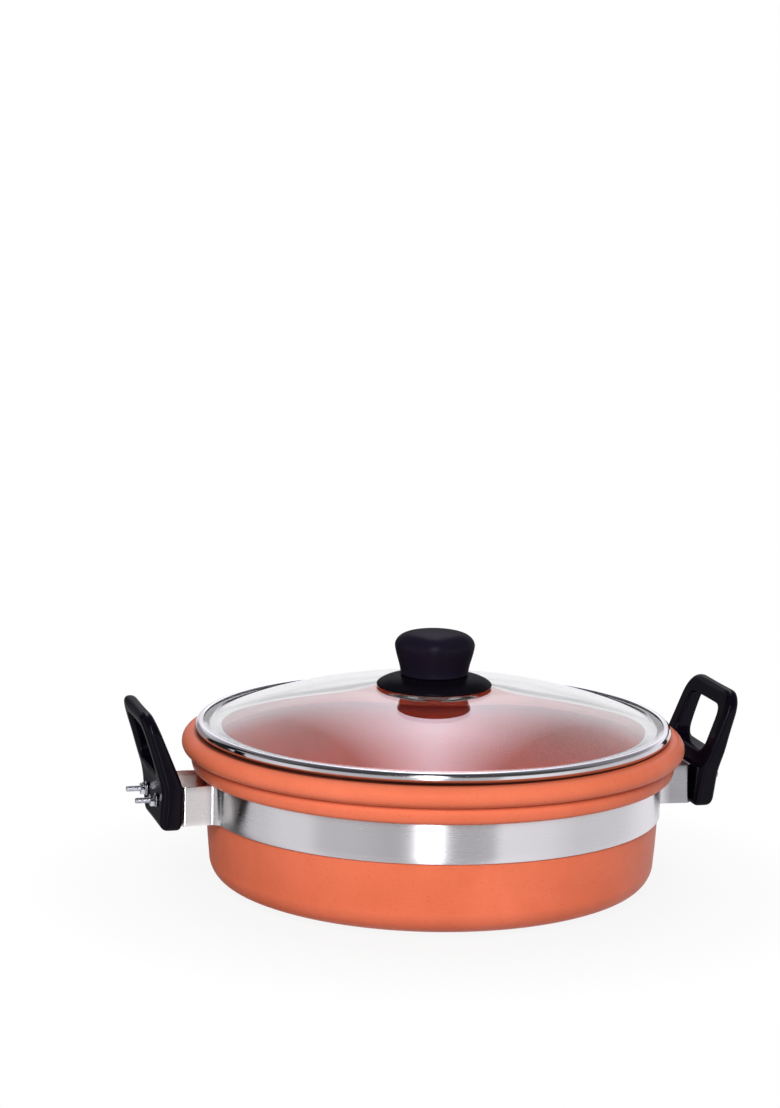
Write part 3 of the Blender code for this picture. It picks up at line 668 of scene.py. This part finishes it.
# %% Turn the pan
inside = [(0, FLOOR)] + [(r, FLOOR) for r in range(8, 70, 8)] + [(69.5, FLOOR)]
inside += arc(INNER_RADIUS - 19.6, FLOOR + 18, 18, -90, 0, 20)
inside += [(105.4, 33.0)] + [(INNER_RADIUS, z) for z in (BELT_BOTTOM, 46, 54, 61)]
inside += flowing([(INNER_RADIUS, 66.0), (106.5, 69.0), (107.8, 71.6), (MOUTH_RADIUS, 73.4)], 4)
lip = arc(MOUTH_RADIUS + 2, PAN_TOP - 2, 2, 180, 90, 8)
lip += [(113, PAN_TOP), (116, PAN_TOP), (118, PAN_TOP), (119.6, PAN_TOP)]
lip += arc(LIP_RADIUS - 5.2, PAN_TOP - 5.2, 5.2, 90, 0, 18)
under = flowing([(LIP_RADIUS, 72.7), (126.75, 71.6), (126.0, 70.3), (124.4, 69.1),
                 (122.5, 68.45), (121.35, GROOVE_Z), (121.45, 67.5), (121.9, 66.7),
                 (122.2, 65.1), (122.1, 63.4), (121.6, 61.6), (120.7, 60.3),
                 (119.2, RIDGE_BOTTOM)], 4)
wall = [(116.5, RIDGE_BOTTOM)]
wall += [(SEAT_RADIUS, z) for z in (RIDGE_BOTTOM, 52, 45, BELT_BOTTOM - 0.5)]
wall += flowing([(114.3, 37.5), (114.0, 31), (113.55, 24), (112.8, 15.1855)], 5)[:-1]
corner = arc(100.8, 15.1855, 12, 0, -65, 14)
sole = arc(86.431, 46, 46, -65, -90, 14)[1:] + [(r, 0) for r in (76, 60, 44, 28, 12, 0)]
outline = inside + lip + under + wall + corner + sole
place("pan_shell", joined_rings(outline, 256), terracotta, "clay_pot", "pan", 60)

# %% [markdown]
# ## The steel belt
# Two equal pressings make it: each runs half way round, bends out into the legs
# of the brackets and in again as a web that the handle is bolted to. A path seen
# from above is swept with a thin section whose edges are rolled soft, so the two
# edges catch a line of light as they do in the photograph.

# %% Path of one belt half
SHEET = 0.8
WEB_X = SEAT_RADIUS + 18.9       # outer face of the webs
LEG = 18.4                       # outer face of a leg from the middle
LEG_FLARE = 1.0                  # a leg starts this much further in than it ends
WEB_BEND = 2.2
BELT_BEND = 5.8                  # bend from the belt into the leg
belt_radius = SEAT_RADIUS + GAP + SHEET / 2
web_line = WEB_X - SHEET / 2
leg_line = LEG - SHEET / 2 - LEG_FLARE
bend_y = leg_line + BELT_BEND
bend_x = sqrt((belt_radius + BELT_BEND) ** 2 - bend_y ** 2)
half_open = degrees(atan2(bend_y, bend_x))
belt_end = [(web_line, y) for y in (-0.75, -6, -11)]
belt_end += arc(web_line - WEB_BEND, WEB_BEND - LEG_FLARE - leg_line, WEB_BEND, 0, -90, 8)
belt_end += arc(bend_x, -bend_y, BELT_BEND, 90, 180 - half_open, 14)
belt_path = belt_end + arc(0, 0, belt_radius, -half_open - 0.8, half_open - 179.2, 150)
belt_path += [(-x, y) for x, y in reversed(belt_end)]
print("points along one belt half:", len(belt_path))

# %% Sweep the belt
def swept_strip(path, low, high, thick, edge):
    """A strip that stands on edge along a path seen from above, all in mm."""
    half = thick / 2
    soft = [(-half, edge), (-half * 0.62, edge * 0.25), (0, 0),
            (half * 0.62, edge * 0.25), (half, edge)]
    section = [(side, low + rise) for side, rise in soft]
    section += [(half, low + (high - low) * part / 6) for part in range(1, 6)]
    section += [(-side, high - rise) for side, rise in soft]
    section += [(-half, high - (high - low) * part / 6) for part in range(1, 6)]
    form = bmesh.new()
    rows = []
    for i, (x, y) in enumerate(path):
        back = path[max(i - 1, 0)]
        ahead = path[min(i + 1, len(path) - 1)]
        length = hypot(ahead[0] - back[0], ahead[1] - back[1])
        nx, ny = (ahead[1] - back[1]) / length, -(ahead[0] - back[0]) / length
        rows.append([form.verts.new(((x + nx * side) * MM, (y + ny * side) * MM, z * MM))
                     for side, z in section])
    for first, second in zip(rows, rows[1:]):
        for i in range(len(section)):
            k = (i + 1) % len(section)
            form.faces.new((first[i], first[k], second[k], second[i]))
    form.faces.new(rows[0])
    form.faces.new(rows[-1][::-1])
    bmesh.ops.recalc_face_normals(form, faces=form.faces)
    return form


for name, turn in (("front_belt_half", 0), ("rear_belt_half", pi)):
    strip = swept_strip(belt_path, BELT_BOTTOM, BELT_TOP, SHEET, 0.35)
    bmesh.ops.rotate(strip, verts=strip.verts, matrix=Matrix.Rotation(turn, 3, "Z"))
    place(name.replace("belt_half", "strap"), strip, belt_steel, name, "pan", 50)

# %% [markdown]
# ## The handles
# Each is one moulding: a foot that is bolted flat to the bracket, a bend, and a
# loop that leans out with an opening for the fingers. The sections stand between
# the opening and the outer edge, like spokes, each a slab with rounded corners,
# and a subdivision surface smooths the whole. A bevelled block with a hole cut
# through would leave creases that a mould doesn't make.

# %% Handle sizes
HANDLE_X = WEB_X + GAP
FOOT_Z = BELT_BOTTOM - 1.2
BEND_Z = FOOT_Z + 21.5
SHOULDER_Z = FOOT_Z + 27
HANDLE_TOP = FOOT_Z + 60.2
OPENING_TOP = HANDLE_TOP - 8
OPENING_LOW = OPENING_TOP - 23.5
MIDDLE_Z = (OPENING_TOP + OPENING_LOW) / 2
LEAN = tan(radians(21.8))
BEND_HALF = 4                    # the bend is rounded this far up and down
FOOT_THICK, MIDDLE_THICK, TOP_THICK = 10.8, 8.6, 6.8


def rounded_loop(points, radii, steps):
    """A closed outline with its corners rounded."""
    loop = []
    for i, (x, y) in enumerate(points):
        to_last = Vector(points[i - 1]) - Vector((x, y))
        to_next = Vector(points[(i + 1) % len(points)]) - Vector((x, y))
        half = to_last.angle(to_next) / 2
        a = to_last.normalized()
        b = to_next.normalized()
        centre = Vector((x, y)) + (a + b).normalized() * radii[i] / sin(half)
        start = Vector((x, y)) + a * radii[i] / tan(half) - centre
        end = Vector((x, y)) + b * radii[i] / tan(half) - centre
        begin = atan2(start.y, start.x)
        turn = (atan2(end.y, end.x) - begin + pi) % (2 * pi) - pi
        loop += arc(centre.x, centre.y, radii[i], degrees(begin), degrees(begin + turn), steps)
    return loop


def divided(loop, longest):
    finer = []
    for i, (x, y) in enumerate(loop):
        nx, ny = loop[(i + 1) % len(loop)]
        parts = max(1, ceil(hypot(nx - x, ny - y) / longest))
        finer += [(x + (nx - x) * k / parts, y + (ny - y) * k / parts) for k in range(parts)]
    return finer


outer_corners = [(22.5, FOOT_Z), (32.5, SHOULDER_Z), (31, HANDLE_TOP),
                 (-31, HANDLE_TOP), (-32.5, SHOULDER_Z), (-22.5, FOOT_Z)]
outer_loop = divided(rounded_loop(outer_corners, [4.5, 30, 11.5, 11.5, 30, 4.5], 6), 3.2)
opening_loop = rounded_loop(
    [(22, OPENING_LOW), (20.5, OPENING_TOP),
     (-20.5, OPENING_TOP), (-22, OPENING_LOW)], [5.5] * 4, 8)
print("handle outline points:", len(outer_loop))

# %% How the handle leans and thins
def lean_at(z):
    """How far the inner face stands out. The bend is rounded over a few millimetres."""
    past = z - BEND_Z
    if past <= -BEND_HALF:
        return 0.0
    if past >= BEND_HALF:
        return past * LEAN
    return (past + BEND_HALF) ** 2 / (4 * BEND_HALF) * LEAN


def thickness_at(z):
    if z <= BEND_Z:
        return FOOT_THICK
    if z <= MIDDLE_Z:
        return FOOT_THICK - (FOOT_THICK - MIDDLE_THICK) * (z - BEND_Z) / (MIDDLE_Z - BEND_Z)
    return MIDDLE_THICK - (MIDDLE_THICK - TOP_THICK) * (z - MIDDLE_Z) / (HANDLE_TOP - MIDDLE_Z)


def ray_hit(loop, centre, angle):
    """Where a ray from the centre meets a closed outline."""
    dx, dy = cos(angle), sin(angle)
    for i, (x, y) in enumerate(loop):
        nx, ny = loop[(i + 1) % len(loop)]
        ex, ey = nx - x, ny - y
        cross = dx * ey - dy * ex
        if abs(cross) < 1e-12:
            continue
        along = ((x - centre[0]) * ey - (y - centre[1]) * ex) / cross
        share = ((x - centre[0]) * dy - (y - centre[1]) * dx) / cross
        if along > 0 and -1e-6 <= share <= 1 + 1e-6:
            return centre[0] + dx * along, centre[1] + dy * along
    return centre


print("lean at the top:", round(lean_at(HANDLE_TOP), 2), "mm")

# %% Build both handles
OUTER_ROUND = (2.0, 1.6, 4.6, 3.4)      # run and depth at the opening, then at the edge
INNER_ROUND = (1.6, 1.2, 2.7, 2.2)


def rounded_side(width, in_run, in_depth, out_run, out_depth):
    """One face of a section from opening to outer edge: shares of the width and depths."""
    bends = (90, 68, 45, 22, 0)
    first = min(in_run / width, 0.3)
    last = min(out_run / width, 0.6)
    side = [(first * (1 - cos(radians(90 - t))), in_depth * (1 - sin(radians(90 - t))))
            for t in bends]
    side += [(first + (1 - last - first) * t, 0) for t in (0.2, 0.4, 0.6, 0.8)]
    side += [(1 - last * (1 - sin(radians(t))), out_depth * (1 - cos(radians(t))))
             for t in bends[::-1]]
    return side


def handle_form():
    form = bmesh.new()
    rows = []
    for y, z in outer_loop:
        near = ray_hit(opening_loop, (0, MIDDLE_Z), atan2(z - MIDDLE_Z, y))
        width = hypot(y - near[0], z - near[1])
        section = []
        for outside in (1, 0):
            points = rounded_side(width, *(OUTER_ROUND if outside else INNER_ROUND))
            for share, depth in points if outside else points[::-1]:
                py = near[0] + (y - near[0]) * share
                pz = near[1] + (z - near[1]) * share
                x = lean_at(pz) + (thickness_at(pz) - 0.12 - depth if outside else depth)
                section.append(form.verts.new(((HANDLE_X + x) * MM, py * MM, pz * MM)))
            if outside:
                x = lean_at(z) + thickness_at(z) / 2
                section.append(form.verts.new(((HANDLE_X + x) * MM, y * MM, z * MM)))
        rows.append(section)
    for i, section in enumerate(rows):
        following = rows[(i + 1) % len(rows)]
        for j in range(len(section)):
            k = (j + 1) % len(section)
            form.faces.new((section[j], section[k], following[k], following[j]))
    bmesh.ops.recalc_face_normals(form, faces=form.faces)
    return form


for side, turn in (("right", 0), ("left", pi)):
    grip = handle_form()
    bmesh.ops.rotate(grip, verts=grip.verts, matrix=Matrix.Rotation(turn, 3, "Z"))
    piece = place(side + "_grip", grip, handle_black, side + "_handle", "pan", 80)
    smooth = piece.modifiers.new("smooth", "SUBSURF")
    smooth.levels = 1
    smooth.render_levels = 1

# %% [markdown]
# ## Bolts, nuts and washers
# Small machine screws go out through web and handle, and a washer and a hexagon
# nut hold each one on the outer face. The thread is real: the radius of every
# ring swings in and out once per turn and pitch, which winds a helix. The cross
# in the head is a dent of four arms.

# %% Thread, cross recess and hexagon
M3_PITCH, M4_PITCH = 0.5, 0.7
BOLT = 1.5                       # radius
NUT_HALF, NUT_HEIGHT = 2.75, 2.4
WASHER_HEIGHT = 0.5


def thread(low, count, radius, depth, pitch):
    """Six rings a turn, from the height low upwards."""
    def ring(height):
        def reach(angle):
            phase = (height / pitch - angle / (2 * pi)) % 1
            return radius - depth * abs(2 * phase - 1)
        return reach, height
    return [ring(low + k * pitch / 6) for k in range(count)]


def cross_height(top, deep, arm):
    """Height of a head's top over the angle, with a cross recess of that depth."""
    def rise(angle):
        return top - deep * max(0.0, abs(cos(2 * angle)) - 1 + arm) / arm
    return rise


def hexagon(half, angle):
    turn = (angle + pi / 6) % (pi / 3) - pi / 6
    return half / cos(turn)


print("thread pitches:", M3_PITCH, M4_PITCH, "mm")

# %% Build the fasteners
def bolt_form(length):
    """Pan head below zero, shank, and a thread over the last stretch."""
    rings = [(0, -0.9)]
    for radius, deep in ((0.35, 0.9), (0.7, 0.8), (1.1, 0.55), (1.5, 0.15)):
        rings.append((radius, cross_height(-2.0 + deep * 0.1, -deep, 0.35)))
    rings += [(1.9, -1.9), (2.3, -1.65), (2.62, -1.2), (2.8, -0.6), (2.8, -0.15), (2.7, 0)]
    plain = length - 11.5 if length > 20 else length - 6.0
    rings += [(BOLT, plain * k / 4) for k in range(5)]
    count = int((length - plain - 0.45) / (M3_PITCH / 6))
    rings += thread(plain + 0.05, count, BOLT - 0.01, 0.27, M3_PITCH)
    rings += [(1.2, length - 0.1), (1.0, length), (0, length)]
    return joined_rings(rings, 28)


def nut_form():
    hole = BOLT + 0.15

    def outside(angle):
        return hexagon(NUT_HALF, angle)

    def chamfer(top):
        def rise(angle):
            cut = max(0.0, outside(angle) - NUT_HALF - 0.02) * 0.55
            return NUT_HEIGHT - cut if top else cut
        return rise

    rings = [(hole, 0.35), (hole + 0.3, 0), (NUT_HALF - 0.15, 0), (outside, chamfer(False)),
             (outside, NUT_HEIGHT / 2), (outside, chamfer(True)), (NUT_HALF - 0.15, NUT_HEIGHT),
             (hole + 0.3, NUT_HEIGHT), (hole, NUT_HEIGHT - 0.35)]
    return joined_rings(rings, 72, True)


def washer_form():
    rings = [(1.9, 0.42), (2.0, WASHER_HEIGHT), (3.3, WASHER_HEIGHT), (3.47, 0.43), (3.5, 0.25),
             (3.47, 0.07), (3.3, 0), (2.0, 0), (1.9, 0.08)]
    return joined_rings(rings, 48, True)


BOLT_SIDE = 12.5                 # from the middle of the bracket
bolt_z = (BELT_TOP + BELT_BOTTOM) / 2 + 3.0
washer_x = HANDLE_X + FOOT_THICK + GAP
nut_x = washer_x + WASHER_HEIGHT + GAP
head_x = WEB_X - SHEET - GAP
for side, turn, tail in (("right", 0, 1.6), ("left", pi, 7.2)):
    for end, across in (("front", -BOLT_SIDE), ("rear", BOLT_SIDE)):
        length = nut_x + NUT_HEIGHT + tail - head_x
        parts = {"bolt": (bolt_form(length), head_x), "nut": (nut_form(), nut_x),
                 "washer": (washer_form(), washer_x)}
        for kind, (form, x) in parts.items():
            lay = Matrix.Translation((x * MM, across * (1 if turn == 0 else -1) * MM, bolt_z * MM))
            lay = Matrix.Rotation(turn, 4, "Z") @ lay @ Matrix.Rotation(pi / 2, 4, "Y")
            bmesh.ops.transform(form, matrix=lay, verts=form.verts)
            node = side + "_" + end + "_" + kind
            place(node + "_made", form, zinc_steel, node, "pan", 35)

# %% [markdown]
# ## The steel rim of the lid
# A strip of thin steel is rolled round the edge of the glass: it folds over the
# top of the glass, runs down and under it, and ends in a short collar that drops
# into the mouth of the pan. Its section is a closed outline of even thickness,
# and the rolled edges are true arcs.

# %% Hand over a turned piece of the lid
def turn_lid_piece(name, rings, steps, closed, material, node, crease):
    place(name, joined_rings(rings, steps, closed), material, node, "lid", crease)


print("turned pieces of the lid ride on its body")

# %% Turn the rim
LID_RADIUS = 120
RIM = 0.5                    # sheet
GLASS = 4                    # thickness
rim_bottom = PAN_TOP + GAP
glass_bottom = rim_bottom + RIM + GAP
border_top = glass_bottom + GLASS
rim_top = border_top + GAP + RIM
collar = MOUTH_RADIUS - 1.8
SHOULDER = 2.6               # outer rounding over the glass
HEEL = 2.9                   # outer rounding below it
heel_z = rim_bottom + HEEL
shoulder_z = rim_top - SHOULDER
rim_line = [(LID_RADIUS - 3.75, rim_top - 0.12), (LID_RADIUS - 3.6, rim_top - 0.02)]
rim_line += arc(LID_RADIUS - SHOULDER, shoulder_z, SHOULDER, 90, 0, 16)
rim_line += arc(LID_RADIUS - HEEL, heel_z, HEEL, 0, -90, 16)
rim_line += [(114, rim_bottom), (collar + 0.3, rim_bottom), (collar, rim_bottom - 0.3),
             (collar, 76.5), (collar, 74.6), (collar - 0.25, 74.5), (collar - RIM, 74.6),
             (collar - RIM, 77), (collar - RIM, rim_bottom + 0.3),
             (collar - 0.2, rim_bottom + RIM), (114, rim_bottom + RIM)]
rim_line += arc(LID_RADIUS - HEEL, heel_z, HEEL - RIM, -90, 0, 12)
rim_line += arc(LID_RADIUS - SHOULDER, shoulder_z, SHOULDER - RIM, 0, 90, 12)
rim_line += [(LID_RADIUS - 3.6, rim_top - RIM + 0.02), (LID_RADIUS - 3.8, rim_top - 0.30)]
turn_lid_piece("lid_rim", rim_line, 256, True, rim_steel, "lid_ring", 50)

# %% [markdown]
# ## The glass
# A toughened disc with a flat border that sits in the rim, drilled in the middle.
# It bends down from an almost flat crown. The outline could be one arc, but the
# knob is mirrored in the glass at nearly its full width, which only happens where
# a mirror is nearly flat. A power of the distance from the crown gives that.

# %% Turn the glass
GLASS_RADIUS = LID_RADIUS - RIM - GAP
DOME_EDGE = GLASS_RADIUS - 6.5
RISE = 18.1
CROWN = 26                   # the middle is flat this far out, for the knob
FALL = 1.85                  # power of the distance from the crown
HOLE = 4.6
CUT_EDGE = 1.5               # rounding of the glass edge
glass_top = border_top + RISE


def dome(radius, offset):
    """Height of the outer face of the glass at a radius, or of a face that far above it."""
    return glass_top - RISE * (max(0, radius - CROWN) / (DOME_EDGE - CROWN)) ** FALL + offset


def dome_line(end, offset):
    """The face from the hole out to a radius."""
    return [(r, dome(r, offset)) for r in [HOLE + (end - HOLE) * k / 40 for k in range(41)]]


glass_line = dome_line(DOME_EDGE - 1.5, 0)
glass_line += flowing([(DOME_EDGE - 0.9, dome(DOME_EDGE - 0.9, 0)),
                       (DOME_EDGE + 0.6, border_top + 0.02), (DOME_EDGE + 2, border_top)], 5)
glass_line += arc(GLASS_RADIUS - CUT_EDGE, border_top - CUT_EDGE, CUT_EDGE, 90, 0, 8)
glass_line += arc(GLASS_RADIUS - CUT_EDGE, glass_bottom + CUT_EDGE, CUT_EDGE, 0, -90, 8)
glass_line += dome_line(DOME_EDGE - 0.5, -GLASS)[::-1]
turn_lid_piece("lid_dome", glass_line, 256, True, lid_glass, "lid_glass", 30)
print("glass top at", round(glass_top, 2), "mm")

# %% [markdown]
# ## The knob
# A wide flange spreads the load over the glass, and a mushroom knob stands on
# it. A screw from below passes a steel washer, a silicone gasket, the glass and
# the flange into a brass insert in the knob. Outlines that the hand feels are
# flowing curves. The hidden parts are plain turned ones with a knurl and a thread.

# %% Flange and knob
FLANGE_HEIGHT, KNOB_HEIGHT = 5.6, 22.2
BORE = 2.4                       # hole round the screw
INSERT, INSERT_LENGTH = 4.0, 12
skirt_low = glass_top + GAP
skirt_top = skirt_low + FLANGE_HEIGHT
knob_low = skirt_top + GAP
knob_top = knob_low + KNOB_HEIGHT
flange = [(r, skirt_top) for r in (BORE, 9, 16.4)]
flange += flowing([(r, skirt_top - fall) for r, fall in (
    (17.4, 0.04), (20.4, 0.62), (24.4, 1.75), (27.1, 2.95), (28.6, 4.0), (29.1, 4.75),
    (28.95, 5.3), (28.4, FLANGE_HEIGHT))], 5)
flange += [(r, skirt_low) for r in (26, 22, 18, 14, 10, 6, BORE)]
turn_lid_piece("knob_flange", flange, 160, True, skirt_black, "knob_skirt", 50)

grip_line = [(0, knob_top), (2.5, knob_top - 0.02), (5.5, knob_top - 0.13)]
grip_line += flowing([(r, knob_top - fall) for r, fall in (
    (9.1, 0.40), (12.4, 0.88), (15.0, 1.58), (17.1, 2.55), (18.65, 3.80), (19.7, 5.30),
    (20.2, 7.1), (19.9, 9.5), (19.35, 11.8), (18.75, 14.0), (18.1, 16.2), (17.6, 18.2),
    (17.25, 20.2), (17.2, 21.4), (17.0, KNOB_HEIGHT - 0.35), (16.6, KNOB_HEIGHT))], 4)
socket = knob_low + INSERT_LENGTH + 2 * GAP
grip_line += [(11, knob_low), (INSERT + GAP, knob_low), (INSERT + GAP, knob_low + 6),
              (INSERT + GAP, socket), (0, socket)]
turn_lid_piece("knob_grip", grip_line, 160, False, knob_black, "knob", 55)

# %% Insert, gasket, washer and screw
insert_low = knob_low + GAP


def knurl(angle):
    return INSERT - 0.22 * abs(2 * ((angle * 36 / (2 * pi)) % 1) - 1)


insert = [(r, insert_low + z) for r, z in (
    (BORE, 12), (3.6, 12), (knurl, 11.6), (knurl, 7.2), (3.5, 6.7), (3.5, 5.3),
    (knurl, 4.8), (knurl, 0.4), (3.6, 0), (BORE, 0))]
turn_lid_piece("brass_insert", insert, 144, True, insert_brass, "knob_insert", 30)

GASKET_HEIGHT, BIG_WASHER_HEIGHT = 1.0, 1.2
under_z = glass_top - GLASS - GAP
gasket_z = under_z - GASKET_HEIGHT
gasket = [(BORE, glass_top - 0.6), (3.9, glass_top - 0.6), (4.3, glass_top - 1.0),
          (4.3, under_z + 0.2), (4.5, under_z), (7.5, dome(7.5, -GLASS - GAP)),
          (9.7, dome(9.7, -GLASS - GAP)), (10.0, under_z - 0.45), (9.9, gasket_z + 0.12),
          (9.6, gasket_z), (6, gasket_z), (BORE, gasket_z)]
turn_lid_piece("silicone_gasket", gasket, 72, True, gasket_rubber, "knob_gasket",
               50)

washer_z = gasket_z - GAP - BIG_WASHER_HEIGHT
big_washer = [(r, washer_z + z) for r, z in (
    (BORE, 1.2), (7.7, 1.2), (7.95, 1.05), (8.0, 0.6), (7.95, 0.15), (7.7, 0), (BORE, 0))]
turn_lid_piece("screw_washer", big_washer, 96, True, screw_steel, "knob_washer", 40)

SCREW = 2.0                      # radius
head_z = washer_z - GAP
tip_z = insert_low + INSERT_LENGTH * 0.85
screw = [(0, head_z - 1.0)]
for radius, deep in ((0.5, 1.1), (1.0, 0.95), (1.5, 0.7), (2.0, 0.25)):
    screw.append((radius, cross_height(head_z - 2.2 + deep * 0.08, -deep, 0.3)))
screw += [(r, head_z + z) for r, z in (
    (2.7, -2.1), (3.3, -1.8), (3.75, -1.3), (4.0, -0.6), (4.0, -0.1), (3.9, 0),
    (SCREW, 0), (SCREW, 4), (SCREW, 7))]
count = int((tip_z - head_z - 7.6) / (M4_PITCH / 6))
screw += thread(head_z + 7.05, count, SCREW, 0.34, M4_PITCH)
screw += [(1.6, tip_z - 0.15), (1.45, tip_z), (0, tip_z)]
turn_lid_piece("lid_screw", screw, 36, False, screw_steel, "knob_screw", 35)

# %% [markdown]
# ## The floor
# A plain white table. Near the pan it is a lit surface that takes the shadow.
# Further out it turns into even white, so that no edge or horizon shows, which a
# rolled paper backdrop does in a real studio.

# %% Floor
floor_form = bmesh.new()
bmesh.ops.create_grid(floor_form, x_segments=24, y_segments=24, size=5)
floor_mesh = bpy.data.meshes.new("floor")
floor_form.to_mesh(floor_mesh)
floor_form.free()
floor = bpy.data.objects.new("floor", floor_mesh)
bpy.context.scene.collection.objects.link(floor)
floor.visible_glossy = False          # mirror rays see the table in the world
paper, tree, shader = new_material("white_table")
settle(shader, Base_Color=(0.55, 0.55, 0.55, 1), Roughness=0.9)
shine = add(tree, "Emission", Color=(1, 1, 1, 1), Strength=1.0)
far = add(tree, "VectorMath", operation="LENGTH")
tree.links.new(add(tree, "TexCoord").outputs["Object"], far.inputs[0])
spread = ranged(tree, far.outputs["Value"], 0.12, 0.21, 0.90, 1.0)
rays = add(tree, "LightPath")
seen = maths(tree, "MAXIMUM", rays.outputs["Is Camera Ray"], rays.outputs["Is Transmission Ray"])
paper_mix = add(tree, "MixShader")
tree.links.new(times(tree, spread, seen), paper_mix.inputs["Fac"])
tree.links.new(shader.outputs[0], paper_mix.inputs[1])
tree.links.new(shine.outputs[0], paper_mix.inputs[2])
tree.links.new(paper_mix.outputs[0], tree.nodes["Material Output"].inputs["Surface"])
floor_mesh.materials.append(paper)
print("floor:", floor.name)
